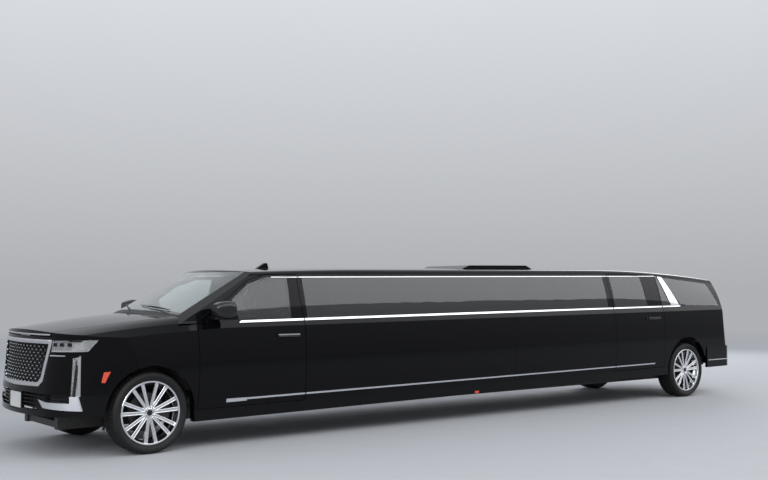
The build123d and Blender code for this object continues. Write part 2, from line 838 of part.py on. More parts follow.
# Front wheel arch liners, thin sheets over the front tyres
liner_thickness = 3.5
with BuildPart() as liner:
    with BuildSketch(Plane.XZ.offset(-arch_inner_y)):
        with Locations((front_axle_x, arch_rows[0][1])):
            Circle(arch_radius + seat_gap + liner_thickness)
            Circle(arch_radius + seat_gap, mode=Mode.SUBTRACT)
    extrude(amount=arch_inner_y - 1100)
    add(nose_form(nose_wall + seat_gap), mode=Mode.INTERSECT)
    add(between(firewall_x + 11 + seat_gap, far, 450, 2000), mode=Mode.INTERSECT)

# Side markers: amber plates on the front corners and low on the sills
marker_row = [(-488, 760), (-522, 766), (-498, 865), (-432, 869)]
sill_marker_row = [(4468, 306), (4468, 336), (4538, 336), (4538, 306)]
marker = carve(nose_form(-5), inside=[side_region(marker_row)], outside=[nose_form(-seat_gap)])
sill_marker = carve(cabin_form(-5), inside=[side_region(sill_marker_row)], outside=[cabin_form(-seat_gap)])

# Wheels: a barrel with seven pairs of spokes that branch near the hub
spoke_pairs = 7
pair_half_angle = 10.5
spoke_root_radius = 58.0
spoke_root_half_angle = 9.0
spoke_root_width = 32.0
spoke_end_radius = 303.0
spoke_end_width = 25.0
hub_radius = 70.0
cap_radius = 40.0
disc_radius = 195.0
disc_y = -8.0
wheel_rows = [
    ("front_left", front_axle_x, 1), ("front_right", front_axle_x, -1),
    ("rear_left", rear_axle_x, 1), ("rear_right", rear_axle_x, -1),
]

with BuildPart() as tyre:
    with BuildSketch(Plane.XY):
        with BuildLine():
            half = tyre_width / 2
            bead = rim_radius - 14 + seat_gap
            foot = Line((bead, -rim_width / 2 + 14), (rim_radius + 6, -rim_width / 2 + 8))
            wall = ThreePointArc(foot @ 1, (rim_radius + 42, -half), (tyre_radius - 22, -half + 14))
            shoulder = ThreePointArc(wall @ 1, (tyre_radius - 5, -half + 24), (tyre_radius, -half + 44))
            Line(shoulder @ 1, (tyre_radius, 0))
            mirror(about=Plane.XZ)
            Line((bead, rim_width / 2 - 14), (bead, -rim_width / 2 + 14))
        make_face()
    revolve(axis=Axis.Y)


def spoke_points(side):
    """Corners of one spoke seen from the face of the wheel."""
    root = radians(side * spoke_root_half_angle)
    end = radians(side * pair_half_angle)
    start = Vector(spoke_root_radius * cos(root), spoke_root_radius * sin(root))
    stop = Vector(spoke_end_radius * cos(end), spoke_end_radius * sin(end))
    run = (stop - start).normalized()
    across_run = Vector(-run.Y, run.X)
    return [
        start + across_run * (spoke_root_width / 2), start - across_run * (spoke_root_width / 2),
        stop - across_run * (spoke_end_width / 2), stop + across_run * (spoke_end_width / 2),
    ]


face_rows = [
    (0, 40), (hub_radius + 16, 40), (hub_radius + 30, 50), (297, 74), (spoke_end_radius, 90),
    (spoke_end_radius, 110), (280, 110), (hub_radius + 10, 90), (cap_radius + 8, 93), (0, 93),
]
with BuildPart() as wheel_face:
    with BuildSketch(Plane.XZ):
        Circle(hub_radius)
        with PolarLocations(0, spoke_pairs):
            for side in (1, -1):
                with BuildLine():
                    Polyline(*spoke_points(side), close=True)
                make_face()
    extrude(amount=-rim_width / 2)
    with BuildSketch(Plane.XY):
        with BuildLine():
            Polyline(*face_rows, close=True)
        make_face()
    revolve(axis=Axis.Y, mode=Mode.INTERSECT)
with BuildPart() as rim:
    with BuildSketch(Plane.XY):
        with BuildLine():
            edge = rim_width / 2
            Polyline(
                (rim_radius, -edge), (rim_radius, -edge + 9), (rim_radius - 14, -edge + 14),
                (rim_radius - 14, -edge + 40), (rim_radius - 34, -edge + 62), (rim_radius - 34, edge - 70),
                (rim_radius - 14, edge - 40), (rim_radius - 14, edge - 14), (rim_radius, edge - 9),
                (rim_radius, edge), (rim_radius - 12, edge), (rim_radius - 24, edge - 14),
                (rim_radius - 24, edge - 44), (rim_radius - 44, edge - 74), (rim_radius - 44, -edge + 66),
                (rim_radius - 24, -edge + 44), (rim_radius - 24, -edge + 9), (rim_radius - 9, -edge),
                close=True,
            )
        make_face()
    revolve(axis=Axis.Y)
    add(wheel_face.part)
    with BuildSketch(Plane.XZ.offset(-(hub_face_y - wheel_centre_y))):
        Circle(hub_radius + 16)
    extrude(amount=-20)
    with BuildSketch(Plane.XZ.offset(-88)):
        Circle(cap_radius)
        Circle(cap_radius - 6, mode=Mode.SUBTRACT)
    extrude(amount=-10)

with BuildPart() as brake_disc:
    with BuildSketch(Plane.XY):
        with BuildLine():
            mount_y = hub_face_y - wheel_centre_y - seat_gap
            Polyline(
                (53, mount_y - 12), (86, mount_y - 12), (86, disc_y), (disc_radius, disc_y),
                (disc_radius, disc_y + 20), (94, disc_y + 20), (94, mount_y), (53, mount_y), close=True,
            )
        make_face()
    revolve(axis=Axis.Y)


def on_wheel(part, x, side):
    """A wheel piece, made about the origin with its face to +Y, set on its axle."""
    with BuildPart() as placed:
        with Locations(Location((x, side * wheel_centre_y, wheel_centre_z), (0, 0, 90 - 90 * side))):
            add(part)
    return placed.part


# Brake caliper: a yoke over the edge of the disc, open towards the hub
caliper_clearance = 5.0
caliper_half_angle = 22.0
caliper_inner_y = wheel_centre_y + disc_y
caliper_outer_y = caliper_inner_y + 20


def caliper(x, facing):
    """Yoke on the side of the disc that faces away from the axle's middle."""
    low_y = caliper_inner_y - caliper_clearance - 18
    high_y = caliper_outer_y + caliper_clearance + 12
    with BuildPart() as yoke:
        with BuildSketch(Plane.XZ.offset(-low_y)):
            with Locations((x + facing * 178, wheel_centre_z)):
                Rectangle(136, 150)
        extrude(amount=low_y - high_y)
        with BuildSketch(Plane.XZ.offset(-(caliper_inner_y - caliper_clearance))):
            with Locations((x, wheel_centre_z)):
                Circle(disc_radius + caliper_clearance)
        extrude(amount=-(20 + 2 * caliper_clearance), mode=Mode.SUBTRACT)
        with BuildSketch(Plane.XZ.offset(-(caliper_outer_y - 1))):
            with Locations((x, wheel_centre_z)):
                Circle(120)
        extrude(amount=-60, mode=Mode.SUBTRACT)
    return yoke.part


# Front knuckles: the steering axis stands just inside the wheel's centre plane
kingpin_y = 828.0
ball_rise = 172.0
flange_radius = 78.0
stub_radius = 52.0
with BuildPart() as knuckle:
    with BuildSketch(Plane.XY.offset(wheel_centre_z - ball_rise)):
        with Locations((front_axle_x, kingpin_y)):
            Circle(24)
    extrude(amount=2 * ball_rise)
    with BuildSketch(Plane.XZ.offset(30 - kingpin_y)):
        with Locations((front_axle_x, wheel_centre_z)):
            Circle(flange_radius)
    extrude(amount=kingpin_y + 20 - hub_face_y)
    with BuildSketch(Plane.XZ.offset(-kingpin_y)):
        with Locations((front_axle_x, wheel_centre_z)):
            Circle(stub_radius)
    extrude(amount=kingpin_y + seat_gap - hub_face_y)
    with BuildSketch(Plane.XY.offset(wheel_centre_z - 110)):
        with BuildLine():
            Polyline(
                (front_axle_x - 20, kingpin_y - 20), (front_axle_x - 150, kingpin_y - 70),
                (front_axle_x - 160, kingpin_y - 40), (front_axle_x - 20, kingpin_y + 24), close=True,
            )
        make_face()
    extrude(amount=30)
    with BuildSketch(Plane.XZ.offset(30 - kingpin_y)):
        with Locations((front_axle_x - 85, wheel_centre_z)):
            Rectangle(150, 64)
    extrude(amount=-52)
    add(caliper(front_axle_x, -1))

# Front arms, from the chassis rails out to the ball joints
rail_y = 430.0
rail_width = 84.0
rail_low_z = 250.0
rail_high_z = 372.0
rail_side_y = rail_y + rail_width / 2 + seat_gap
ball_half_width = 24.0
ball_reach = 10.0
arm_rows = [
    (wheel_centre_z - ball_rise - 26 - seat_gap, 26.0, 190.0),
    (wheel_centre_z + ball_rise + seat_gap, 20.0, 120.0),
]
with BuildPart() as front_arm:
    for low, thickness, half_span in arm_rows:
        with BuildSketch(Plane.XY.offset(low)):
            with BuildLine():
                Polyline(
                    (front_axle_x - half_span, rail_side_y), (front_axle_x - half_span + 60, rail_side_y),
                    (front_axle_x, kingpin_y - 110),
                    (front_axle_x + half_span - 60, rail_side_y), (front_axle_x + half_span, rail_side_y),
                    (front_axle_x + ball_half_width, kingpin_y + ball_reach),
                    (front_axle_x - ball_half_width, kingpin_y + ball_reach), close=True,
                )
            make_face()
        extrude(amount=thickness)

# Heights of the floor, which rises over the rear axle
floor_low_z = 455.0
floor_thickness = 14.0
floor_half_width = sill_half_width - door_wall - seat_gap
floor_front_x = firewall_x - 1.3
floor_rear_x = tail_centre_x + tail_wall + 30
house_inner_y = 684.0
step_x = rear_axle_x + 560
rear_floor_z = 590.0

# Chassis
rail_front_x = front_axle_x + 760
rail_rear_x = rear_axle_x - 1000
cross_rows = [700, 150, -700, -2400, -3900, -5400, -6900, -8300, -9800]
body_mount_rows = [-700, -2400, -3900, -5400, -6900]
body_mount_radius = 34.0
tower_height = wheel_centre_z + ball_rise + 40 - rail_high_z
with BuildPart() as frame_rails:
    with BuildSketch(Plane.XY.offset(rail_low_z)):
        for side in (1, -1):
            with Locations(((rail_front_x + rail_rear_x) / 2, side * rail_y)):
                Rectangle(rail_front_x - rail_rear_x, rail_width)
    extrude(amount=rail_high_z - rail_low_z)
    with BuildSketch(Plane.XY.offset(rail_low_z + 12)):
        for place in cross_rows:
            with Locations((front_axle_x + place, 0)):
                Rectangle(90, 2 * rail_y)
    extrude(amount=66)
    with BuildSketch(Plane.XY.offset(rail_high_z)):
        for side in (1, -1):
            with Locations((front_axle_x, side * (rail_y + 12))):
                Rectangle(300, 60)
    extrude(amount=tower_height)
    with BuildSketch(Plane.XY.offset(rail_high_z - 1)):
        for place in body_mount_rows:
            with Locations((front_axle_x + place, rail_y), (front_axle_x + place, -rail_y)):
                Circle(body_mount_radius)
    extrude(amount=floor_low_z - seat_gap - rail_high_z + 1)

with BuildPart() as engine_block:
    with BuildSketch(Plane.XY.offset(rail_high_z - 20)):
        with Locations((front_axle_x + 190, 0)):
            Rectangle(740, 560)
    extrude(amount=640)
    with BuildSketch(Plane.XY.offset(rail_low_z + 80)):
        with Locations((front_axle_x - 305, 0)):
            Rectangle(290, 280)
    extrude(amount=120)
    fillet(engine_block.edges().filter_by(Axis.Z), 20)

shaft_z = 398.0
shaft_front_x = front_axle_x - 450 - seat_gap
shaft_rear_x = rear_axle_x + 175 + seat_gap
with BuildPart() as drive_shaft:
    with BuildSketch(Plane.YZ.offset(shaft_front_x)):
        with Locations((0, shaft_z)):
            Circle(38)
    extrude(amount=shaft_rear_x - shaft_front_x)

with BuildPart() as rear_axle:
    with BuildSketch(Plane.YZ.offset(rear_axle_x + 175)):
        with Locations((0, shaft_z + 10)):
            Circle(70)
    extrude(amount=-100)
    with BuildSketch(Plane.XZ.offset(190)):
        with Locations((rear_axle_x, wheel_centre_z)):
            Circle(128)
    extrude(amount=-380)
    with BuildSketch(Plane.XZ.offset(hub_face_y - seat_gap)):
        with Locations((rear_axle_x, wheel_centre_z)):
            Circle(27)
    extrude(amount=-2 * (hub_face_y - seat_gap))
    for side in (1, -1):
        with BuildSketch(Plane.XZ.offset(-side * (wheel_centre_y - 70))):
            with Locations((rear_axle_x, wheel_centre_z)):
                Circle(80)
        extrude(amount=-side * 60)
        with BuildSketch(Plane.XZ.offset(-side * (wheel_centre_y - 20))):
            with Locations((rear_axle_x, wheel_centre_z)):
                Circle(stub_radius)
        extrude(amount=-side * (hub_face_y - seat_gap - wheel_centre_y + 20))
        with BuildSketch(Plane.XZ.offset(-side * (wheel_centre_y - 60))):
            with Locations((rear_axle_x - 85, wheel_centre_z)):
                Rectangle(150, 64)
        extrude(amount=-side * 42)
        with BuildSketch(Plane.XY.offset(rail_high_z - 90)):
            with BuildLine():
                Polyline(
                    (rear_axle_x + 420, side * rail_side_y), (rear_axle_x + 500, side * rail_side_y),
                    (rear_axle_x + 60, side * (wheel_centre_y - 20)),
                    (rear_axle_x - 60, side * (wheel_centre_y - 20)),
                    close=True,
                )
            make_face()
        extrude(amount=60)
    add(pair_of(caliper(rear_axle_x, -1)))

with BuildPart() as exhaust_pipe:
    with BuildSketch(Plane.YZ.offset(front_axle_x - 480)):
        with Locations((190, shaft_z)):
            Circle(30)
    extrude(amount=rear_axle_x + 900 - front_axle_x + 480)
    with BuildSketch(Plane.YZ.offset(rear_axle_x + 1700)):
        with Locations((200, shaft_z)):
            RectangleRounded(240, 84, 36)
    extrude(amount=-700)
    with BuildSketch(Plane.XY.offset(shaft_z)):
        for distance in (1250, 3200, 5200, 7200):
            with Locations((rear_axle_x + distance, 190)):
                Circle(7)
    extrude(amount=floor_low_z - seat_gap - shaft_z)

with BuildPart() as fuel_tank:
    with BuildSketch(Plane.YZ.offset(front_axle_x - 4100)):
        with Locations((-215, floor_low_z - seat_gap - 46)):
            RectangleRounded(320, 92, 24)
    extrude(amount=-1200)

# Floor pan with the rear wheelhouses
with BuildPart() as floor_pan:
    with BuildSketch(Plane.XZ.offset(-floor_half_width)):
        with BuildLine():
            Polyline(
                (floor_front_x, floor_low_z), (floor_front_x, floor_low_z + floor_thickness),
                (step_x + floor_thickness, floor_low_z + floor_thickness),
                (step_x + floor_thickness, rear_floor_z + floor_thickness),
                (floor_rear_x, rear_floor_z + floor_thickness), (floor_rear_x, rear_floor_z),
                (step_x, rear_floor_z), (step_x, floor_low_z), close=True,
            )
        make_face()
    extrude(amount=2 * floor_half_width)
    for place, height in arch_rows:
        for side in (1, -1):
            with BuildSketch(Plane.XZ.offset(-side * house_inner_y)):
                with Locations((behind(place), height)):
                    Circle(arch_radius + 2)
            extrude(amount=-side * 400, mode=Mode.SUBTRACT)
    place, height = arch_rows[1]
    for side in (1, -1):
        with BuildSketch(Plane.XZ.offset(-side * house_inner_y)):
            with Locations((behind(place), height)):
                Circle(arch_radius + 8)
                Circle(arch_radius + 2, mode=Mode.SUBTRACT)
            with Locations((behind(place), rear_floor_z - arch_radius)):
                Rectangle(3 * arch_radius, 2 * arch_radius, mode=Mode.SUBTRACT)
        extrude(amount=side * (house_inner_y - floor_half_width))
        with BuildSketch(Plane.XZ.offset(-side * (house_inner_y - 6))):
            with Locations((behind(place), height)):
                Circle(arch_radius + 8)
            with Locations((behind(place), rear_floor_z - arch_radius)):
                Rectangle(3 * arch_radius, 2 * arch_radius, mode=Mode.SUBTRACT)
        extrude(amount=-side * 6)

# Cabin fittings
wheel_hub = Vector(firewall_x - 560, 420, 1235)
column_direction = (-0.9, 0, 0.436)
column_radius = 34.0
wheel_plane = Plane(origin=wheel_hub, x_dir=(0, 1, 0), z_dir=column_direction)
with BuildPart() as dashboard:
    with BuildSketch(Plane.XZ.offset(-840)):
        with BuildLine():
            Polyline(
                (firewall_x - seat_gap, 900), (firewall_x - seat_gap, 1288), (firewall_x - 120, 1330),
                (firewall_x - 420, 1318), (firewall_x - 470, 1200), (firewall_x - 330, 1010),
                (firewall_x - 300, 900), close=True,
            )
        make_face()
    extrude(amount=1680)
    fillet(dashboard.edges().filter_by(Axis.Y).group_by(Axis.X)[0], 30)
    with BuildSketch(wheel_plane):
        Circle(column_radius + seat_gap)
    extrude(amount=-150 - seat_gap, mode=Mode.SUBTRACT)

with BuildPart() as steering_wheel:
    with BuildSketch(Plane(origin=wheel_hub + Vector(0, 188, 0), x_dir=(0, 1, 0), z_dir=(0.436, 0, 0.9))):
        Circle(14)
    revolve(axis=Axis(tuple(wheel_hub), column_direction))
    with BuildSketch(wheel_plane):
        Circle(62)
        Rectangle(366, 34)
        with Locations((0, -90)):
            Rectangle(40, 180)
    extrude(amount=-26)
    with BuildSketch(wheel_plane):
        Circle(column_radius)
    extrude(amount=-150)

seat_rows = [(behind(1330), 430.0), (behind(1330), -430.0)]
with BuildPart() as front_seats:
    for x, y in seat_rows:
        with BuildSketch(Plane.XZ.offset(-y - 250)):
            with BuildLine():
                Polyline(
                    (x, 560), (x, 800), (x - 420, 770), (x - 600, 1420), (x - 700, 1400), (x - 560, 640),
                    (x - 560, 560), close=True,
                )
            make_face()
        extrude(amount=500)
        with BuildSketch(Plane.XZ.offset(-y - 130)):
            with BuildLine():
                Polyline((x - 606, 1400), (x - 640, 1600), (x - 720, 1590), (x - 700, 1380), close=True)
            make_face()
        extrude(amount=260)
        with BuildSketch(Plane.XY.offset(floor_low_z + floor_thickness)):
            with Locations((x - 280, y)):
                Rectangle(440, 380)
        extrude(amount=100)

bench_z = floor_low_z + floor_thickness + seat_gap
bench_x = rear_axle_x + 640
with BuildPart() as lounge_seats:
    with BuildSketch(Plane.YZ.offset(b_pillar_x - 700)):
        with BuildLine():
            Polyline(
                (-370, bench_z), (-340, 800), (-350, 880), (-700, 870), (-770, 1330), (-850, 1330),
                (-850, bench_z), close=True,
            )
        make_face()
    extrude(amount=-3900)
    with BuildSketch(Plane.XZ.offset(-640)):
        with BuildLine():
            Polyline(
                (bench_x + 560, bench_z), (bench_x + 580, 800), (bench_x + 570, 880), (bench_x + 190, 870),
                (bench_x + 60, 1440), (bench_x - 60, 1430), (bench_x - 20, bench_z), close=True,
            )
        make_face()
    extrude(amount=1280)

partition_x = b_pillar_x - 420
partition = carve(cabin_form(pillar_wall, 1.0), inside=[between(partition_x, partition_x + 50, bench_z)])

# Roof unit and fin aerial
unit_front = behind(4735)
unit_rear = behind(6180)
unit_z = raked(roof_top_z, unit_front) - 24
fin_x = behind(1800)
fin_z = raked(roof_top_z, fin_x) - 22
with BuildPart() as roof_fittings:
    with BuildSketch(Plane.XZ.offset(-430)):
        with BuildLine():
            Polyline(
                (unit_front, unit_z), (unit_front - 190, unit_z + 63), (unit_rear + 160, unit_z + 77),
                (unit_rear, unit_z + 14), close=True,
            )
        make_face()
    extrude(amount=860)
    fillet(roof_fittings.edges().filter_by(Axis.Y).group_by(Axis.Z)[-1], 20)
    with BuildSketch(Plane.XZ.offset(-22)):
        with BuildLine():
            Polyline(
                (fin_x, fin_z + 2), (fin_x - 130, fin_z + 80), (fin_x - 165, fin_z + 80),
                (fin_x - 190, fin_z + 2), close=True,
            )
        make_face()
    extrude(amount=44)
    add(cabin_form(-seat_gap), mode=Mode.SUBTRACT)


# Rear bumper
def bumper_outline(z, shift=0.0):
    """Plan of the rear bumper at height z, moved in by the shift."""
    start = (behind(9484), body_half_width + 2 - shift)
    bend = (rear_end_x + 260, body_half_width - 30 - shift)
    corner = (rear_end_x + 70 + shift, 800 - shift)
    with BuildSketch(Plane.XY.offset(z)) as outline:
        with BuildLine():
            Line((start[0], 0), start)
            Line(start, bend)
            ThreePointArc(bend, (rear_end_x + 128 + shift * 0.7, 925 - shift * 0.8), corner)
            ThreePointArc(corner, (rear_end_x + 18 + shift, 400), (rear_end_x + shift, 0))
            mirror(about=Plane.XZ)
        make_face()
    return outline.sketch


with BuildPart() as rear_bumper:
    extrude(bumper_outline(bumper_low), amount=bumper_high - bumper_low)
    extrude(bumper_outline(bumper_low - 50, 40), amount=bumper_high - bumper_low + 20, mode=Mode.SUBTRACT)
    extrude(bumper_outline(bumper_low - 50, 150), amount=600, mode=Mode.SUBTRACT)
    add(between(behind(9495), far), mode=Mode.SUBTRACT)

# Bright trim on the sides: bands that stand on the skin
trim_sheet = carve(cabin_form(-strip_thickness), outside=[cabin_form(-seat_gap)])
nose_trim_sheet = carve(nose_limit(-6), outside=[nose_limit(-seat_gap)])
belt_strip = [(1014, 1308), (1046, 1330), (8900, 1348), (8870, 1326)]
roof_strip = [(1500, 1792), (1500, 1800), (8420, 1800), (8420, 1792)]
low_strip = [(700, 488), (700, 508), (8180, 494), (8180, 478)]
thick_strip = [(708, 472), (708, 512), (1100, 508), (1100, 474)]
slash = [(8488, 1790), (8592, 1780), (8874, 1330), (8662, 1326)]
side_strips = [side_region(row) for row in (belt_strip, roof_strip, low_strip, thick_strip)]
trim_left = carve(trim_sheet, inside=[carve(side_strips[0], with_parts=side_strips[1:])])
door_spans = {
    "front": side_region([(500, 0), (500, 1815), (1852, 1815), (1852, 0)]),
    "rear": side_region([(7276, 0), (7276, 1815), (8420, 1815), (8420, 0)]),
}
body_spans = [
    side_region([(1866, 0), (1866, 2000), (7262, 2000), (7262, 0)]),
    side_region([(8440, 0), (8440, 1400), (9600, 1400), (9600, 0)]),
]

# Bright trim on the nose, each outline seen from the front
nose_trim_rows = [
    [(520, 574), (650, 552), (868, 548), (866, 612), (912, 612), (930, 472), (600, 496)],
    [(911, 612), (896, 985), (902, 1005), (920, 612)],
    [(641, 1000), (641, 1012), (800, 1010), (800, 1000)],
]
nose_trim = [carve(nose_trim_sheet, inside=[along(row, nose_x - 430, grille_end)]) for row in nose_trim_rows]


def handle(place, height):
    """Pull handle with its two feet, standing off the door."""
    x = behind(place)
    z = raked(height, x)
    with BuildPart() as grip:
        with BuildSketch(Plane.XY.offset(z - 14)):
            with BuildLine():
                Polyline(
                    (x, 990), (x - 10, 1052), (x - 290, 1052), (x - 300, 990), (x - 262, 990),
                    (x - 258, 1034), (x - 44, 1034), (x - 40, 990), close=True,
                )
            make_face()
        extrude(amount=28)
        fillet(grip.edges().filter_by(Axis.Z).group_by(Axis.Y)[-1], 8)
        add(cabin_form(-seat_gap), mode=Mode.SUBTRACT)
    return grip.part


front_door_trim = carve(trim_left, inside=[door_spans["front"]], with_parts=[handle(1470, 1156)])
rear_door_trim = carve(trim_left, inside=[door_spans["rear"]], with_parts=[handle(8000, 1168)])
centre_trim = carve(trim_left, inside=[body_spans[0]])
end_trim = carve(trim_left, inside=[body_spans[1]])
slash_trim = carve(trim_sheet, inside=[side_region(slash)])

# Door mirrors: a rounded housing on an arm at the belt
# Each section: place ahead of the front axle, middle half width, width, height, corner radius
mirror_rows = [
    (-850.0, 1135.0, 175.0, 165.0, 60.0), (-760.0, 1135.0, 200.0, 185.0, 60.0),
    (-640.0, 1120.0, 130.0, 120.0, 45.0),
]
mirror_z = 1440.0
with BuildPart() as mirror_left:
    for place, y, width, height, corner in mirror_rows:
        with BuildSketch(Plane.YZ.offset(front_axle_x + place)):
            with Locations((y, mirror_z)):
                RectangleRounded(width, height, corner)
    loft()
    with BuildSketch(Plane.XZ.offset(-900)):
        with Locations((behind(720), 1358)):
            Rectangle(110, 34)
    extrude(amount=-190)
    add(cabin_form(-seat_gap), mode=Mode.SUBTRACT)

left_and_right = {
    "front_door": front_door, "rear_door": rear_door, "front_door_glass": front_door_glass,
    "rear_door_glass": rear_door_glass, "front_door_trim": front_door_trim, "rear_door_trim": rear_door_trim,
    "mirror": mirror_left.part, "knuckle": knuckle.part,
}
for name, part in left_and_right.items():
    finish(part, f"{name}_left")
    finish(mirrored(part), f"{name}_right")
pairs = {
    "centre_side_panels": [carve(centre_side, with_parts=[hinge_arms(door_rows["rear"])])],
    "side_glass": [centre_glass, quarter_glass, pane_glass],
    "quarter_panels": [carve(quarter, with_parts=[gate_stop.part])],
    "front_fenders": [carve(fender, with_parts=[hinge_arms(door_rows["front"])])],
    "body_trim": [centre_trim, end_trim, slash_trim, *nose_trim],
    "sills": [sill], "tail_lamps": [tail_lamp], "front_arms": [front_arm.part], "wheel_liners": [liner.part],
    "headlamps": [headlamp], "running_lamps": [running_lamp], "side_markers": [marker, sill_marker],
}
for name, parts in pairs.items():
    finish(pair_of(*parts), name)
for name, x, side in wheel_rows:
    finish(on_wheel(tyre.part, x, side), f"tyre_{name}")
    finish(on_wheel(carve(rim.part, with_parts=[brake_disc.part]), x, side), f"rim_{name}")
singles = {
    "roof_panel": roof_panel, "firewall": firewall, "hood": hood, "cowl_panel": cowl_panel,
    "windscreen": windscreen, "grille_surround": grille_surround, "front_bumper": front_bumper.part,
    "tailgate": tailgate, "tailgate_glass": tailgate_glass, "frame_rails": frame_rails.part,
    "engine_block": engine_block.part, "drive_shaft": drive_shaft.part, "rear_axle": rear_axle.part,
    "exhaust_pipe": exhaust_pipe.part, "fuel_tank": fuel_tank.part, "floor_pan": floor_pan.part,
    "dashboard": dashboard.part, "steering_wheel": steering_wheel.part, "front_seats": front_seats.part,
    "lounge_seats": lounge_seats.part, "partition": partition, "roof_fittings": roof_fittings.part,
    "rear_bumper": rear_bumper.part, "grille_mesh": grille_mesh,
}
for name, part in singles.items():
    finish(part, name)
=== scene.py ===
import json
from math import atan2, cos, pi, radians, sin

import bmesh
import bpy
from mathutils import Matrix, Vector
from mathutils.bvhtree import BVHTree


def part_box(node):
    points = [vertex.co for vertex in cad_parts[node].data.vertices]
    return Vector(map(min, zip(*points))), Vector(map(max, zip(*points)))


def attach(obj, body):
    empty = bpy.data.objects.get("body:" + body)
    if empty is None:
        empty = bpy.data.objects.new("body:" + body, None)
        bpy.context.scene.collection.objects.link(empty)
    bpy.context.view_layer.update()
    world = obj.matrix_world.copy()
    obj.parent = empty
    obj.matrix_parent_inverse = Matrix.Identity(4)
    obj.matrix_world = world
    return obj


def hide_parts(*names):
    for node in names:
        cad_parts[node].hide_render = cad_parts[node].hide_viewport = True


# A long black stretched estate car in a plain studio, sizes in metres
# +X is the car's front, +Y its left side, the floor is at zero

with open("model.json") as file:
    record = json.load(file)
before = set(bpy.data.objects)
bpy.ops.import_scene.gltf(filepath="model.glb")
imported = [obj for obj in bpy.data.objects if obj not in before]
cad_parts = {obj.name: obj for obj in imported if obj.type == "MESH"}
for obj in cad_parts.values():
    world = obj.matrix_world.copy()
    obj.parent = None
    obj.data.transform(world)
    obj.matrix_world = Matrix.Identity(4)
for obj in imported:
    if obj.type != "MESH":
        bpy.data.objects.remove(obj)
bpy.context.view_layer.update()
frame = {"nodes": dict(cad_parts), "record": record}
nodes = frame["nodes"]
frontAxleX = (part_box("tyre_front_left")[0].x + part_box("tyre_front_left")[1].x) / 2
rearAxleX = (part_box("tyre_rear_left")[0].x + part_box("tyre_rear_left")[1].x) / 2
wheelY = (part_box("tyre_front_left")[0].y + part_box("tyre_front_left")[1].y) / 2
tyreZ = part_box("tyre_front_left")[1].z / 2
wheelMiddle = Vector((frontAxleX, wheelY, tyreZ))
aheadX = 6  # rays onto the nose start here, ahead of the car
print("frame loaded,", len(nodes), "nodes")


# Camera, at the height of a standing person ahead of the car and to its left
cameraSettings = {
    "place": (9.2695, 10.575, 1.645), "lens": 47.98, "sensor": 36.0, "heading": 141.516, "tilt": 2.816,
}


def addCamera(settings):
    data = bpy.data.cameras.new("camera")
    data.lens = settings["lens"]
    data.sensor_width = settings["sensor"]
    data.clip_start, data.clip_end = 0.1, 200
    camera = bpy.data.objects.new("camera", data)
    camera.location = settings["place"]
    camera.rotation_euler = (radians(90 + settings["tilt"]), 0, radians(settings["heading"]))
    bpy.context.collection.objects.link(camera)
    bpy.context.scene.camera = camera


addCamera(cameraSettings)
bpy.context.scene.view_settings.view_transform = "Standard"


# Modelling helpers: a primitive is picked apart and shaped in edit mode
def deselectAll():
    for item in bpy.context.selected_objects:
        item.select_set(False)


def makeActive(piece):
    deselectAll()
    piece.select_set(True)
    bpy.context.view_layer.objects.active = piece


def pick(piece, kind, test):
    if bpy.context.mode != "EDIT_MESH":
        makeActive(piece)
        bpy.ops.object.mode_set(mode="EDIT")
    bpy.ops.mesh.select_mode(type=kind)
    bpy.ops.mesh.select_all(action="DESELECT")
    shape = bmesh.from_edit_mesh(piece.data)
    if kind == "EDGE":
        found = [e for e in shape.edges if test(e.verts[0].co, e.verts[1].co)]
    else:
        found = [f for f in shape.faces if test(f.calc_center_median(), f.normal)]
    for part in found:
        part.select_set(True)
    bmesh.update_edit_mesh(piece.data)


def pickFacing(piece, axis, least=0.9):
    pick(piece, "FACE", lambda middle, normal: normal[axis] > least)


def editAll(piece):
    makeActive(piece)
    bpy.ops.object.mode_set(mode="EDIT")
    bpy.ops.mesh.select_mode(type="VERT")
    bpy.ops.mesh.select_all(action="SELECT")


def leaveEdit():
    bpy.ops.object.mode_set(mode="OBJECT")


# The faces of the piece in edit mode are turned outwards
def closeShell():
    bpy.ops.mesh.select_all(action="SELECT")
    bpy.ops.mesh.normals_make_consistent(inside=False)
    leaveEdit()


def startBox(low, high):
    deselectAll()
    middle = [(a + b) / 2 for a, b in zip(low, high)]
    bpy.ops.mesh.primitive_cube_add(size=1, location=middle, scale=[b - a for a, b in zip(low, high)])
    bpy.ops.object.transform_apply(location=True, scale=True)
    return bpy.context.object


def startCylinder(sides, radius, depth, place, turn=(0, 0, 0)):
    deselectAll()
    bpy.ops.mesh.primitive_cylinder_add(
        vertices=sides, radius=radius, depth=depth, location=place, rotation=turn)
    bpy.ops.object.transform_apply(location=True, rotation=True)
    return bpy.context.object


# A line of vertices extruded one from the next, the start of a section or a path
def startLine(points):
    deselectAll()
    bpy.ops.mesh.primitive_plane_add(size=0.01, location=points[0])
    line = bpy.context.object
    bpy.ops.object.transform_apply(location=True)
    editAll(line)
    bpy.ops.mesh.merge(type="CENTER")
    for before, after in zip(points, points[1:]):
        step = [b - a for a, b in zip(before, after)]
        bpy.ops.mesh.extrude_vertices_move(TRANSFORM_OT_translate={"value": step})
    leaveEdit()
    return line


# A section of radius and outward pairs, spun about a wheel's axis through the centre
def spinSection(centre, rows, steps):
    piece = startLine([centre + Vector((radius, height, 0)) for radius, height in rows])
    editAll(piece)
    bpy.ops.mesh.spin(steps=steps, angle=2 * pi, center=centre, axis=(0, 1, 0))
    bpy.ops.mesh.select_all(action="SELECT")
    bpy.ops.mesh.remove_doubles(threshold=0.00002)
    closeShell()
    return piece


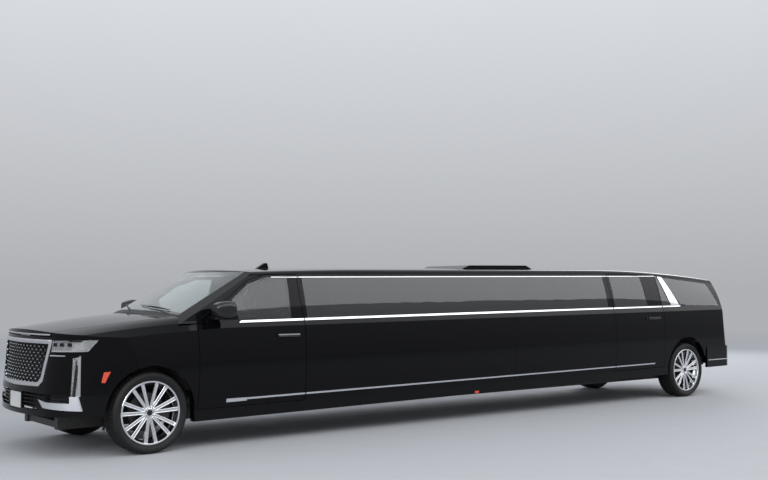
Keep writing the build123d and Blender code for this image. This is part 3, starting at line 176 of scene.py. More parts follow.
def useModifier(piece, kind, **fields):
    makeActive(piece)
    modifier = piece.modifiers.new(kind.lower(), kind)
    for name, value in fields.items():
        setattr(modifier, name, value)
    bpy.ops.object.modifier_apply(modifier=modifier.name)


# A path turned into a round bar
def thicken(line, radius, sides=2):
    makeActive(line)
    bpy.ops.object.convert(target="CURVE")
    line.data.bevel_depth = radius
    line.data.bevel_resolution = sides
    line.data.use_fill_caps = True
    bpy.ops.object.convert(target="MESH")
    return line


def copyPiece(piece, shift=(0, 0, 0), turn=None):
    twin = piece.copy()
    twin.data = piece.data.copy()
    bpy.context.collection.objects.link(twin)
    twin.data.transform(Matrix.Translation(shift) @ (turn or Matrix.Identity(4)))
    return twin


def mirrorPiece(piece):
    twin = copyPiece(piece, turn=Matrix.Scale(-1, 4, (0, 1, 0)))
    twin.data.flip_normals()
    return twin


def joinPieces(pieces):
    makeActive(pieces[0])
    for piece in pieces:
        piece.select_set(True)
    bpy.ops.object.join()
    return pieces[0]


def finishPiece(piece, name, slotName, body, finish=None, angle=35):
    makeActive(piece)
    bpy.ops.object.transform_apply(location=True, rotation=True, scale=True)
    piece.name = piece.data.name = name
    piece.data.materials.clear()
    piece.data.materials.append(finishes[finish or slotName])
    bpy.ops.object.shade_smooth_by_angle(angle=radians(angle))
    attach(piece, body)


trees = {}


# Where a ray from a point first meets a CAD node, and which way that face looks
def castOn(node, start, direction):
    if node not in trees:
        mesh = nodes[node].data
        corners = [p.vertices[:] for p in mesh.polygons]
        trees[node] = BVHTree.FromPolygons([v.co for v in mesh.vertices], corners)
    place, normal, _, _ = trees[node].ray_cast(Vector(start), Vector(direction))
    return place, normal


# Node helpers shared by every material
def addNode(tree, kind, inputs=None, **fields):
    node = tree.nodes.new(kind)
    for name, value in fields.items():
        setattr(node, name, value)
    for name, value in (inputs or {}).items():
        node.inputs[name].default_value = value
    return node


# Links, each as source node, output, target node and input
def wire(tree, links):
    for source, output, target, socket in links:
        tree.links.new(source.outputs[output], target.inputs[socket])


def newGroup(name, inputs, outputs):
    tree = bpy.data.node_groups.new(name, "ShaderNodeTree")
    for socketName, kind, value in inputs:
        socket = tree.interface.new_socket(name=socketName, in_out="INPUT", socket_type=kind)
        socket.default_value = value
    for socketName, kind in outputs:
        tree.interface.new_socket(name=socketName, in_out="OUTPUT", socket_type=kind)
    return tree, tree.nodes.new("NodeGroupInput"), tree.nodes.new("NodeGroupOutput")


# Fine unevenness: a normal and a roughness from soft noise, for cast, moulded and lacquered faces
def buildFineGrain():
    tree, into, out = newGroup("fineGrain", [
        ("Scale", "NodeSocketFloat", 300.0), ("Depth", "NodeSocketFloat", 0.0002),
        ("Low", "NodeSocketFloat", 0.3), ("High", "NodeSocketFloat", 0.4),
    ], [("Normal", "NodeSocketVector"), ("Roughness", "NodeSocketFloat")])
    place = addNode(tree, "ShaderNodeTexCoord")
    noise = addNode(tree, "ShaderNodeTexNoise", {"Detail": 3.0, "Roughness": 0.55})
    bump = addNode(tree, "ShaderNodeBump", {"Strength": 1.0})
    levels = addNode(tree, "ShaderNodeMapRange", {"From Min": 0.35, "From Max": 0.65})
    wire(tree, [
        (place, "Object", noise, "Vector"), (into, "Scale", noise, "Scale"),
        (noise, "Fac", bump, "Height"), (into, "Depth", bump, "Distance"),
        (noise, "Fac", levels, "Value"), (into, "Low", levels, "To Min"),
        (into, "High", levels, "To Max"), (bump, "Normal", out, "Normal"),
        (levels, "Result", out, "Roughness"),
    ])
    return tree


# Road film: a colour that thickens towards the ground and breaks up in soft patches
def buildRoadFilm():
    tree, into, out = newGroup("roadFilm", [
        ("Top", "NodeSocketFloat", 0.5), ("Amount", "NodeSocketFloat", 0.3),
        ("Clean", "NodeSocketColor", (0.02, 0.02, 0.02, 1)),
        ("Film", "NodeSocketColor", (0.12, 0.11, 0.1, 1)),
    ], [("Color", "NodeSocketColor")])
    place = addNode(tree, "ShaderNodeTexCoord")
    split = addNode(tree, "ShaderNodeSeparateXYZ")
    height = addNode(tree, "ShaderNodeMapRange", {"From Min": 0.0, "To Min": 1.0, "To Max": 0.0})
    patches = addNode(tree, "ShaderNodeTexNoise", {"Scale": 9.0, "Detail": 5.0, "Roughness": 0.65})
    both = addNode(tree, "ShaderNodeMath", operation="MULTIPLY")
    amount = addNode(tree, "ShaderNodeMath", operation="MULTIPLY")
    mix = addNode(tree, "ShaderNodeMix", data_type="RGBA")
    wire(tree, [
        (place, "Object", split, "Vector"), (place, "Object", patches, "Vector"),
        (split, "Z", height, "Value"), (into, "Top", height, "From Max"), (height, "Result", both, 0),
        (patches, "Fac", both, 1), (both, "Value", amount, 0), (into, "Amount", amount, 1),
        (amount, "Value", mix, "Factor"), (into, "Clean", mix, "A"), (into, "Film", mix, "B"),
        (mix, "Result", out, "Color"),
    ])
    return tree


# Hide: rounded cells with creases between them, the darker crease colour being painted shade
def buildHide():
    tree, into, out = newGroup("hide", [
        ("Scale", "NodeSocketFloat", 380.0), ("Depth", "NodeSocketFloat", 0.0004),
        ("Color", "NodeSocketColor", (0.03, 0.03, 0.03, 1)),
        ("CreaseShade", "NodeSocketColor", (0.01, 0.01, 0.01, 1)),
    ], [("Color", "NodeSocketColor"), ("Normal", "NodeSocketVector"), ("Roughness", "NodeSocketFloat")])
    place = addNode(tree, "ShaderNodeTexCoord")
    cells = addNode(tree, "ShaderNodeTexVoronoi", {"Randomness": 0.9}, feature="DISTANCE_TO_EDGE")
    swell = addNode(tree, "ShaderNodeMapRange", {"From Min": 0.0, "From Max": 0.22})
    bump = addNode(tree, "ShaderNodeBump", {"Strength": 1.0})
    mix = addNode(tree, "ShaderNodeMix", data_type="RGBA")
    gloss = addNode(tree, "ShaderNodeMapRange", {"To Min": 0.62, "To Max": 0.42})
    wire(tree, [
        (place, "Object", cells, "Vector"), (into, "Scale", cells, "Scale"),
        (cells, "Distance", swell, "Value"), (swell, "Result", bump, "Height"),
        (into, "Depth", bump, "Distance"), (swell, "Result", mix, "Factor"), (into, "CreaseShade", mix, "A"),
        (into, "Color", mix, "B"), (swell, "Result", gloss, "Value"), (mix, "Result", out, "Color"),
        (bump, "Normal", out, "Normal"), (gloss, "Result", out, "Roughness"),
    ])
    return tree


fineGrain = buildFineGrain()
roadFilm = buildRoadFilm()
hide = buildHide()


def newFinish(name, color, roughness, metallic=0.0, **sockets):
    material = bpy.data.materials.new(name)
    material.use_nodes = True
    shader = material.node_tree.nodes["Principled BSDF"]
    shader.inputs["Base Color"].default_value = (*color, 1)
    shader.inputs["Roughness"].default_value = roughness
    shader.inputs["Metallic"].default_value = metallic
    for socket, value in sockets.items():
        shader.inputs[socket.replace("_", " ")].default_value = value
    return material


def placeGroup(material, group, values, links):
    tree = material.node_tree
    node = addNode(tree, "ShaderNodeGroup", values, node_tree=group)
    wire(tree, [(node, source, tree.nodes["Principled BSDF"], target) for source, target in links])


def addGrain(material, scale, depth, low, high):
    values = {"Scale": scale, "Depth": depth, "Low": low, "High": high}
    placeGroup(material, fineGrain, values, [("Normal", "Normal"), ("Roughness", "Roughness")])


def addFilm(material, top, amount, clean, film):
    values = {"Top": top, "Amount": amount, "Clean": (*clean, 1), "Film": (*film, 1)}
    placeGroup(material, roadFilm, values, [("Color", "Base Color")])


# Lacquer: deep black and glossy, with the slight waviness of sprayed paint
def makeLacquer():
    material = newFinish("blackLacquer", (0.002, 0.002, 0.003), 0.03, IOR=1.24)
    addFilm(material, 0.62, 0.2, (0.003, 0.003, 0.004), (0.03, 0.028, 0.026))
    addGrain(material, 24.0, 0.00006, 0.02, 0.05)
    return material


# Safety glass, from the clear windscreen to the nearly black panes of the saloon
def makeGlass(name, tint, ior=1.5):
    return newFinish(name, tint, 0.0, Transmission_Weight=1.0, IOR=ior)


def makeRubber():
    material = newFinish("tyreRubber", (0.008, 0.008, 0.008), 0.55, Specular_IOR_Level=0.35)
    addFilm(material, 0.85, 0.25, (0.007, 0.007, 0.007), (0.03, 0.028, 0.026))
    addGrain(material, 420.0, 0.0003, 0.52, 0.72)
    return material


def makeMetal(name, color, low, high, scale, depth):
    material = newFinish(name, color, low, 1.0)
    addGrain(material, scale, depth, low, high)
    return material


def makePlastic(name, color, low, high, scale, depth):
    material = newFinish(name, color, low)
    addGrain(material, scale, depth, low, high)
    return material


def makeChassisPaint():
    material = newFinish("chassisPaint", (0.018, 0.018, 0.018), 0.5)
    addFilm(material, 0.9, 0.7, (0.016, 0.016, 0.016), (0.085, 0.08, 0.072))
    addGrain(material, 130.0, 0.0005, 0.42, 0.68)
    return material


def makeLeather(name, color, creaseShade):
    material = newFinish(name, color, 0.5, Specular_IOR_Level=0.45)
    # The darker colour given for the creases of the hide is painted shade
    placeGroup(
        material, hide, {"Color": (*color, 1), "CreaseShade": (*creaseShade, 1)},
        [("Color", "Base Color"), ("Normal", "Normal"), ("Roughness", "Roughness")],
    )
    return material


# Lens: coloured plastic with upright optic ribs
def makeLens(name, color, pitch, transmission=0.0):
    material = newFinish(
        name, color, 0.06, Coat_Weight=1.0, Coat_Roughness=0.02, Transmission_Weight=transmission)
    tree = material.node_tree
    place = addNode(tree, "ShaderNodeTexCoord")
    ribs = addNode(tree, "ShaderNodeTexWave", {"Scale": pitch, "Distortion": 0.0}, bands_direction="Z")
    bump = addNode(tree, "ShaderNodeBump", {"Strength": 1.0, "Distance": 0.0006})
    wire(tree, [
        (place, "Object", ribs, "Vector"), (ribs, "Fac", bump, "Height"),
        (bump, "Normal", tree.nodes["Principled BSDF"], "Normal"),
    ])
    return material


finishes = {
    "body_paint": makeLacquer(),
    "glass_dark": makeGlass("saloonGlass", (0.085, 0.09, 0.1), ior=1.62),
    "glass_clear": makeGlass("windscreenGlass", (0.86, 0.93, 0.92)),
    "glass_cab": makeGlass("cabGlass", (0.62, 0.66, 0.66)),
    "chrome_trim": makeMetal("brightTrim", (0.72, 0.73, 0.76), 0.05, 0.09, 60.0, 0.00001),
    "wheel_alloy": makeMetal("polishedAlloy", (0.72, 0.73, 0.75), 0.12, 0.2, 90.0, 0.00003),
    "tyre_rubber": makeRubber(),
    "dark_plastic": makePlastic("grainedPlastic", (0.016, 0.016, 0.016), 0.5, 0.66, 700.0, 0.0005),
    "grille_black": makePlastic("glossMoulding", (0.008, 0.008, 0.008), 0.16, 0.24, 40.0, 0.00005),
    "lamp_clear": makeLens("clearLens", (0.9, 0.92, 0.94), 60.0, 0.85),
    "lamp_red": makeLens("redLens", (0.32, 0.004, 0.006), 34.0),
    "lamp_amber": makeLens("amberLens", (0.68, 0.055, 0.008), 60.0),
    "chassis_black": makeChassisPaint(),
    "cast_metal": makeMetal("bareCasting", (0.09, 0.088, 0.085), 0.45, 0.7, 140.0, 0.0006),
    "exhaust_steel": makeMetal("exhaustSteel", (0.30, 0.27, 0.24), 0.28, 0.5, 50.0, 0.0002),
    "cabin_trim": makePlastic("cabinTrim", (0.028, 0.028, 0.03), 0.55, 0.72, 800.0, 0.0006),
    "seat_leather": makeLeather("seatLeather", (0.032, 0.029, 0.028), (0.008, 0.007, 0.007)),
    "lamp_silver": makeMetal("lampReflector", (0.86, 0.87, 0.88), 0.06, 0.12, 30.0, 0.00002),
    "lamp_dark": makePlastic("lampModule", (0.004, 0.004, 0.005), 0.05, 0.09, 40.0, 0.00002),
    "seal_rubber": makePlastic("sealRubber", (0.006, 0.006, 0.006), 0.5, 0.62, 500.0, 0.0002),
    "mesh_black": makePlastic("grilleMesh", (0.003, 0.003, 0.003), 0.55, 0.7, 300.0, 0.0002),
    "plate_white": makePlastic("platePaint", (0.62, 0.63, 0.62), 0.35, 0.45, 300.0, 0.00005),
}
print("finishes ready")

finishOf = {
    "front_door_glass_left": "glass_cab", "front_door_glass_right": "glass_cab", "grille_mesh": "mesh_black",
}
for part in frame["record"]["subparts"]:
    node = nodes[part["node"]]
    key = finishOf.get(part["node"], part["material_slot"])
    for slot in node.material_slots:
        slot.material = finishes[key]


# Tyres: four grooves round the tread, cut blocks on both shoulders, ribs on the walls
tyre = {
    "steps": 120, "radius": 0.4118, "tread": 0.094, "half": 0.1420, "bead": 0.3095, "grooveDepth": 0.008,
    "grooves": (-0.060, -0.021, 0.021, 0.060), "grooveHalf": 0.0055, "cutDepth": 0.006,
    "cutEdge": 0.0018, "shoulder": (0.067, 0.40), "middle": (0.014, 0.41),
}


def tyreRows():
    side = [
        (tyre["bead"], 0.112), (0.3225, 0.1215), (0.331, 0.1225), (0.334, 0.1262), (0.343, 0.1335),
        (0.347, 0.1345), (0.350, 0.1372), (0.362, 0.1405), (0.371, tyre["half"]), (0.3725, 0.1408),
        (0.377, 0.1408), (0.3785, 0.1412), (0.389, 0.1345), (0.394, 0.129), (0.403, 0.1205), (0.4085, 0.112),
        (tyre["radius"] - 0.0008, tyre["tread"] + 0.004),
    ]
    tread = [(tyre["radius"], tyre["tread"] - 0.006)]
    for middle in reversed(tyre["grooves"]):
        for shift, depth in ((1.0, 0), (0.75, 1), (-0.75, 1), (-1.0, 0)):
            tread.append((tyre["radius"] - depth * tyre["grooveDepth"], middle + shift * tyre["grooveHalf"]))
    tread.append((tyre["radius"], 0.006 - tyre["tread"]))
    return side + tread + [(radius, -height) for radius, height in reversed(side)] + [(tyre["bead"], 0.112)]


def addTyre():
    piece = spinSection(wheelMiddle, tyreRows(), tyre["steps"])
    turn = 2 * pi / tyre["steps"]

    def isCut(middle, normal):
        spot = middle - wheelMiddle
        radius = (spot.x ** 2 + spot.z ** 2) ** 0.5
        place = round(atan2(spot.z, spot.x) / turn - 0.5)
        outer = abs(spot.y) > tyre["shoulder"][0] and radius > tyre["shoulder"][1]
        inner = abs(spot.y) < tyre["middle"][0] and radius > tyre["middle"][1]
        return (outer and place % 2 == 0) or (inner and place % 4 == 1)

    pick(piece, "FACE", isCut)
    bpy.ops.mesh.inset(thickness=tyre["cutEdge"], depth=-tyre["cutDepth"], use_boundary=True)
    leaveEdit()
    return piece


wheelRows = {
    "front_left": (frontAxleX, 1), "front_right": (frontAxleX, -1),
    "rear_left": (rearAxleX, 1), "rear_right": (rearAxleX, -1),
}
firstTyre = addTyre()
halfTurn = Matrix.Translation(wheelMiddle) @ Matrix.Rotation(pi, 4, "Z") @ Matrix.Translation(-wheelMiddle)


# A wheel piece modelled at the front left, copied to each wheel with its face outwards
def onEachWheel(piece, name, slotName, finish=None, standsFor=None, angle=35):
    for wheel, (x, side) in wheelRows.items():
        shift = (x - frontAxleX, (side - 1) * wheelY, 0)
        twin = copyPiece(piece, shift, None if side > 0 else halfTurn)
        finishPiece(twin, f"{name}_{wheel}", slotName, f"wheel_{wheel}", finish, angle)
        if standsFor:
            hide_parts(f"{standsFor}_{wheel}")
    bpy.data.objects.remove(piece)


onEachWheel(firstTyre, "treadedTyre", "tyre_rubber", standsFor="tyre", angle=28)
print("tyres done")


# Wheels: a polished barrel with seven pairs of spokes that part near the hub, and the brake disc behind
wheel = {
    "pairs": 7, "pairHalfAngle": 10.5, "turn": 11.2, "rootRadius": 0.052, "endRadius": 0.3035,
    "rootWidth": 0.033, "endWidth": 0.040, "back": 0.052, "front": 0.0915, "endRise": 0.0275,
    "endDepth": 0.62, "edge": 0.0045, "crown": 0.003, "channelEdge": 0.0035, "channelDepth": 0.0032,
    "round": 0.0011,
}
barrelRows = [
    (0.3085, 0.112), (0.3185, 0.114), (0.3225, 0.118), (0.3225, 0.1235), (0.3195, 0.126), (0.3135, 0.126),
    (0.3045, 0.1225), (0.3, 0.113), (0.2985, 0.082), (0.2785, 0.052), (0.2785, -0.06), (0.2985, -0.082),
    (0.2985, -0.117), (0.3135, -0.126), (0.3225, -0.126), (0.3225, -0.117), (0.3085, -0.112),
    (0.3085, -0.086), (0.2885, -0.064), (0.2885, 0.056), (0.3085, 0.086), (0.3085, 0.112),
]
hubRows = [
    (0.0001, 0.0363), (0.086, 0.0363), (0.0865, 0.052), (0.081, 0.066), (0.071, 0.074), (0.069, 0.086),
    (0.064, 0.0895), (0.048, 0.0905), (0.0415, 0.0935), (0.04, 0.0985), (0.0345, 0.099), (0.0335, 0.0945),
    (0.0001, 0.0945),
]
discRows = [
    (0.053, 0.0237), (0.086, 0.0237), (0.086, -0.008), (0.195, -0.008), (0.195, -0.001), (0.188, 0.0),
    (0.188, 0.004), (0.195, 0.005), (0.195, 0.012), (0.098, 0.012), (0.094, 0.02), (0.094, 0.0357),
    (0.053, 0.0357), (0.053, 0.0237),
]


# One spoke lies along +X from the hub: it narrows and rises towards the barrel, with a raised middle
def addSpoke():
    half = wheel["rootWidth"] / 2
    spoke = startBox(
        (wheel["rootRadius"], wheel["back"], -half), (wheel["endRadius"], wheel["front"], half))
    pickFacing(spoke, 0)
    bpy.ops.transform.resize(value=(1, wheel["endDepth"], wheel["endWidth"] / wheel["rootWidth"]))
    bpy.ops.transform.translate(value=(0, wheel["endRise"], 0))
    pickFacing(spoke, 1, 0.8)
    bpy.ops.mesh.inset(thickness=wheel["edge"], depth=0.0)
    bpy.ops.transform.translate(value=(0, wheel["crown"], 0))
    pick(spoke, "FACE", lambda middle, normal: normal.y > 0.97 and abs(middle.z) < 0.002)
    bpy.ops.mesh.inset(thickness=wheel["channelEdge"], depth=-wheel["channelDepth"])
    pick(spoke, "EDGE", lambda a, b: abs(a.z - b.z) < 0.01 and abs(a.x - b.x) > 0.15)
    bpy.ops.mesh.bevel(offset=wheel["round"], segments=2)
    leaveEdit()
    spoke.data.transform(Matrix.Translation(wheelMiddle))
    return spoke


def addWheel():
    parts = [spinSection(wheelMiddle, barrelRows, 112), spinSection(wheelMiddle, hubRows, 56)]
    spoke = addSpoke()
    for k in range(wheel["pairs"]):
        for side in (1, -1):
            angle = radians(wheel["turn"] + side * wheel["pairHalfAngle"]) + 2 * pi * k / wheel["pairs"]
            turn = Matrix.Rotation(-angle, 4, "Y")
            parts.append(copyPiece(spoke, wheelMiddle, turn @ Matrix.Translation(-wheelMiddle)))
    bpy.data.objects.remove(spoke)
    return joinPieces(parts)


onEachWheel(addWheel(), "splitSpokeWheel", "wheel_alloy", standsFor="rim", angle=32)
onEachWheel(spinSection(wheelMiddle, discRows, 72), "brakeDisc", "cast_metal")
print("wheels done")


# Wheel centre: a dark blank cap in a grey ring, six nuts, and a valve at the edge
wheelCentre = {
    "face": 0.0985, "capRadius": 0.033, "nuts": 6, "nutCircle": 0.0575, "nutRadius": 0.0105,
    "nutBase": 0.0905, "nutDepth": 0.012, "valveRadius": 0.0045,
    "valve": ((0.272, 0.068, 0.03), (0.262, 0.094, 0.03)),
}


def addWheelCentre():
    face = wheelCentre["face"]
    cap = spinSection(wheelMiddle, [
        (0.0001, face + 0.0035), (0.012, face + 0.003), (0.022, face + 0.001), (0.029, face - 0.002),
        (wheelCentre["capRadius"], face - 0.006),
    ], 36)
    onEachWheel(cap, "hubCap", "grille_black", angle=50)
    nuts = []
    for k in range(wheelCentre["nuts"]):
        angle = 2 * pi * (k + 0.5) / wheelCentre["nuts"]
        place = wheelMiddle + Vector((cos(angle), 0, sin(angle))) * wheelCentre["nutCircle"]
        place.y = wheelY + wheelCentre["nutBase"]
        nut = startCylinder(6, wheelCentre["nutRadius"], wheelCentre["nutDepth"], place, (pi / 2, 0, angle))
        pickFacing(nut, 1, 0.8)
        bpy.ops.mesh.inset(thickness=0.002, depth=0.0015)
        bpy.ops.mesh.inset(thickness=0.003, depth=-0.004)
        leaveEdit()
        nuts.append(nut)
    onEachWheel(joinPieces(nuts), "wheelNuts", "chrome_trim", angle=30)
    stem = startLine([wheelMiddle + Vector(end) for end in wheelCentre["valve"]])
    onEachWheel(thicken(stem, wheelCentre["valveRadius"], 3), "valve", "dark_plastic")


addWheelCentre()
print("wheel centres done")


# Grille: a bright stud on every crossing of the mesh, and a bright bar above it
grille = {
    "pitchY": 0.086, "pitchZ": 0.064, "middleZ": 0.926, "halfTop": 0.60, "halfLow": 0.535, "low": 0.728,
    "high": 1.092, "bottom": 0.71, "height": 0.42, "stud": (0.013, 0.022, 0.011), "studLift": 0.003,
    "topBar": (1.118, 1.156, 0.612, 0.010), "hoodLip": (1.199, 1.213, 0.60, 0.006),
    "barSteps": 22, "barLift": 0.001, "barEdge": 0.985,
}


def addStuds():
    studs = []
    first = None
    for row in range(-7, 7):
        z = grille["middleZ"] + row * grille["pitchZ"] / 2
        if not grille["low"] < z < grille["high"]:
            continue
        offset = 0 if row % 2 == 0 else grille["pitchY"] / 2
        rise = (z - grille["bottom"]) / grille["height"]
        reach = grille["halfLow"] + (grille["halfTop"] - grille["halfLow"]) * rise
        for column in range(-7, 8):
            y = offset + column * grille["pitchY"]
            place, normal = castOn("grille_mesh", (aheadX, y, z), (-1, 0, 0))
            if abs(y) > reach or place is None:
                continue
            if first is None:
                first = startBox([-k / 2 for k in grille["stud"]], [k / 2 for k in grille["stud"]])
                pickFacing(first, 0)
                bpy.ops.transform.resize(value=(1, 0.55, 0.35))
                leaveEdit()
            turn = Matrix.Rotation(atan2(normal.y, normal.x), 4, "Z")
            studs.append(copyPiece(first, place + normal * grille["studLift"], turn))
    bpy.data.objects.remove(first)
    finishPiece(joinPieces(studs), "grilleStuds", "chrome_trim", "root", angle=20)


# A bar that follows the nose: a line of points cast on a node, drawn upwards and given its thickness
def noseBar(node, low, high, half, thickness):
    steps, middle = grille["barSteps"], (low + high) / 2
    points = []
    for k in range(steps + 1):
        y = half * (2 * k / steps - 1)
        place = castOn(node, (aheadX, y, middle), (-1, 0, 0))[0]
        if place is None:
            place = castOn(node, (aheadX, y * grille["barEdge"], middle), (-1, 0, 0))[0]
        if place is not None:
            points.append((place.x + grille["barLift"], y, low))
    bar = startLine(points)
    editAll(bar)
    bpy.ops.mesh.extrude_region_move(TRANSFORM_OT_translate={"value": (0, 0, high - low)})
    closeShell()
    useModifier(bar, "SOLIDIFY", thickness=thickness, offset=0)
    useModifier(bar, "BEVEL", width=min(thickness, high - low) * 0.3, segments=2)
    return bar


# A black panel closes the lower intake behind its slats
intake = {"low": (5.574, -0.575, 0.468), "high": (5.579, 0.575, 0.606)}


def addIntakeBack():
    back = startBox(intake["low"], intake["high"])
    pickFacing(back, 0)
    bpy.ops.mesh.inset(thickness=0.012, depth=-0.002)
    leaveEdit()
    finishPiece(back, "intakeBack", "grille_black", "root", "mesh_black")


# Radiator: a black core with a cell pattern, behind the open mesh
radiator = {
    "low": (5.468, -0.565, 0.700), "high": (5.482, 0.565, 1.118), "cuts": 15, "rib": 0.004, "depth": 0.006,
}


def addRadiator():
    core = startBox(radiator["low"], radiator["high"])
    pickFacing(core, 0)
    bpy.ops.mesh.subdivide(number_cuts=radiator["cuts"])
    bpy.ops.mesh.inset(thickness=radiator["rib"], depth=-radiator["depth"], use_individual=True)
    leaveEdit()
    finishPiece(core, "radiatorCore", "grille_black", "root", "mesh_black")


addStuds()
addIntakeBack()
addRadiator()
topBar = noseBar("grille_surround", *grille["topBar"])
print("grille done")


# Hood lip: a bright band along the front edge, on the hood
hoodLip = noseBar("hood", *grille["hoodLip"])
finishPiece(hoodLip, "hoodLip", "chrome_trim", "hood", angle=45)
finishPiece(topBar, "grilleTopBar", "chrome_trim", "root", angle=45)


# Seats: foam blocks under leather, filled by a short cloth simulation, then sewn into channels
seat = {
    "voxel": 0.010, "pressure": 4.0, "frames": 16, "maxMove": 0.011, "edge": 0.034, "channelDepth": 0.007,
    "channelWidth": 0.006, "falloff": 2.718,
}


# A foam block, which leans when its top face is moved along X
def startPad(low, high, lean=0.0):
    pad = startBox([a + seat["maxMove"] for a in low], [b - seat["maxMove"] for b in high])
    if lean:
        pickFacing(pad, 2)
        bpy.ops.transform.translate(value=(lean, 0, 0))
    editAll(pad)
    bpy.ops.mesh.bevel(offset=seat["edge"], segments=4, profile=0.5)
    leaveEdit()
    useModifier(pad, "REMESH", mode="VOXEL", voxel_size=seat["voxel"])
    return pad


def fillPad(pad):
    makeActive(pad)
    scene = bpy.context.scene
    start = [v.co.copy() for v in pad.data.vertices]
    cloth = pad.modifiers.new("filling", "CLOTH")
    cloth.settings.quality = 4
    cloth.settings.mass = 0.4
    cloth.settings.use_pressure = True
    cloth.settings.uniform_pressure_force = seat["pressure"]
    cloth.settings.effector_weights.gravity = 0.0
    cloth.point_cache.frame_end = seat["frames"]
    for frameNumber in range(1, seat["frames"] + 1):
        scene.frame_set(frameNumber)
    bpy.ops.object.modifier_apply(modifier=cloth.name)
    for vertex, before in zip(pad.data.vertices, start):
        move = vertex.co - before
        if move.length > seat["maxMove"]:
            vertex.co = before + move.normalized() * seat["maxMove"]
    scene.frame_set(1)
    return pad


# Sewn channels are pressed in along lines, away from the edges of the pad
def sewChannels(pad, axis, lines, face):
    shape = pad.data
    reach = Vector(face).normalized()
    inwards = [(v.co.copy(), v.normal.copy()) for v in shape.vertices]
    for vertex, (place, normal) in zip(shape.vertices, inwards):
        facing = max(0.0, normal.dot(reach))
        for line in lines:
            gap = (place[axis] - line) / seat["channelWidth"]
            vertex.co -= normal * (seat["channelDepth"] * facing * seat["falloff"] ** (-gap * gap))
    return pad


def addPad(name, low, high, standsFor, lean=0.0, axis=1, lines=(), face=(0, 0, 1), fill=0.7):
    pad = sewChannels(fillPad(startPad(low, high, lean)), axis, lines, face)
    finishPiece(pad, name, "seat_leather", "root", angle=60)
    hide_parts(standsFor)
    return pad


def addAgain(pad, name, shift, standsFor):
    twin = copyPiece(pad, shift)
    twin.parent = None
    finishPiece(twin, name, "seat_leather", "root", angle=60)
    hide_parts(standsFor)


# Blocks are given as rear end, front end, bottom and top, along X from the seat's own place
frontSeat = {
    "x": frontAxleX - 1.33, "y": 0.43, "half": 0.25, "restHalf": 0.13, "channel": 0.085, "lean": -0.11,
    "cushion": (-0.545, 0.0, 0.57, 0.79), "back": (-0.60, -0.475, 0.80, 1.41),
    "rest": (-0.713, -0.615, 1.42, 1.595), "base": (-0.5, -0.06, 0.469, 0.566), "baseHalf": 0.19,
    "postX": -0.665, "postY": 0.06, "postZ": 1.42, "postRadius": 0.007, "postLength": 0.1,
}


def seatBlock(rows, x, low, high):
    rear, front, bottom, top = rows
    return (x + rear, low, bottom), (x + front, high, top)


def addFrontSeats():
    x, y, half, restHalf = [frontSeat[key] for key in ("x", "y", "half", "restHalf")]
    lines = [y - frontSeat["channel"], y, y + frontSeat["channel"]]
    cushion = addPad(
        "driverCushion", *seatBlock(frontSeat["cushion"], x, y - half, y + half), "front_seats", lines=lines)
    back = addPad(
        "driverBack", *seatBlock(frontSeat["back"], x, y - half, y + half), "front_seats",
        lean=frontSeat["lean"], lines=lines, face=(1, 0, 0.2))
    rest = addPad(
        "driverHeadrest", *seatBlock(frontSeat["rest"], x, y - restHalf, y + restHalf), "front_seats",
        fill=0.8)
    shift = (0, -2 * y, 0)
    addAgain(cushion, "passengerCushion", shift, "front_seats")
    addAgain(back, "passengerBack", shift, "front_seats")
    addAgain(rest, "passengerHeadrest", shift, "front_seats")
    for side, label in ((1, "driver"), (-1, "passenger")):
        middle, baseHalf = side * y, frontSeat["baseHalf"]
        base = startBox(*seatBlock(frontSeat["base"], x, middle - baseHalf, middle + baseHalf))
        pickFacing(base, 2)
        bpy.ops.transform.resize(value=(0.86, 0.9, 1))
        editAll(base)
        bpy.ops.mesh.bevel(offset=0.012, segments=3)
        leaveEdit()
        posts = [base]
        for shiftY in (-frontSeat["postY"], frontSeat["postY"]):
            place = (x + frontSeat["postX"], middle + shiftY, frontSeat["postZ"])
            post = startCylinder(16, frontSeat["postRadius"], frontSeat["postLength"], place)
            pickFacing(post, 2)
            bpy.ops.mesh.inset(thickness=0.002)
            leaveEdit()
            posts.append(post)
        finishPiece(joinPieces(posts), f"{label}SeatFrame", "cabin_trim", "root")


lounge = {
    "front": frontAxleX - 2.55, "length": 3.9, "count": 5, "gap": 0.004,
    "cushionY": (-0.70, -0.35), "cushionZ": (0.66, 0.875), "backY": (-0.845, -0.735), "backZ": (0.885, 1.325),
    "rearX": rearAxleX + 0.64, "rearY": (0.215, 0.638), "rearPitch": 0.4265,
    "rearLines": (0.32, 0.427, 0.533),
    "rearCushion": (0.19, 0.575, 0.66, 0.875), "rearBack": (0.065, 0.185, 0.885, 1.425),
    "baseZ": (0.4697, 0.655), "baseY": (-0.85, -0.375), "rearBase": (-0.02, 0.56, 0.4697, 0.655),
    "rearBaseHalf": 0.64,
}


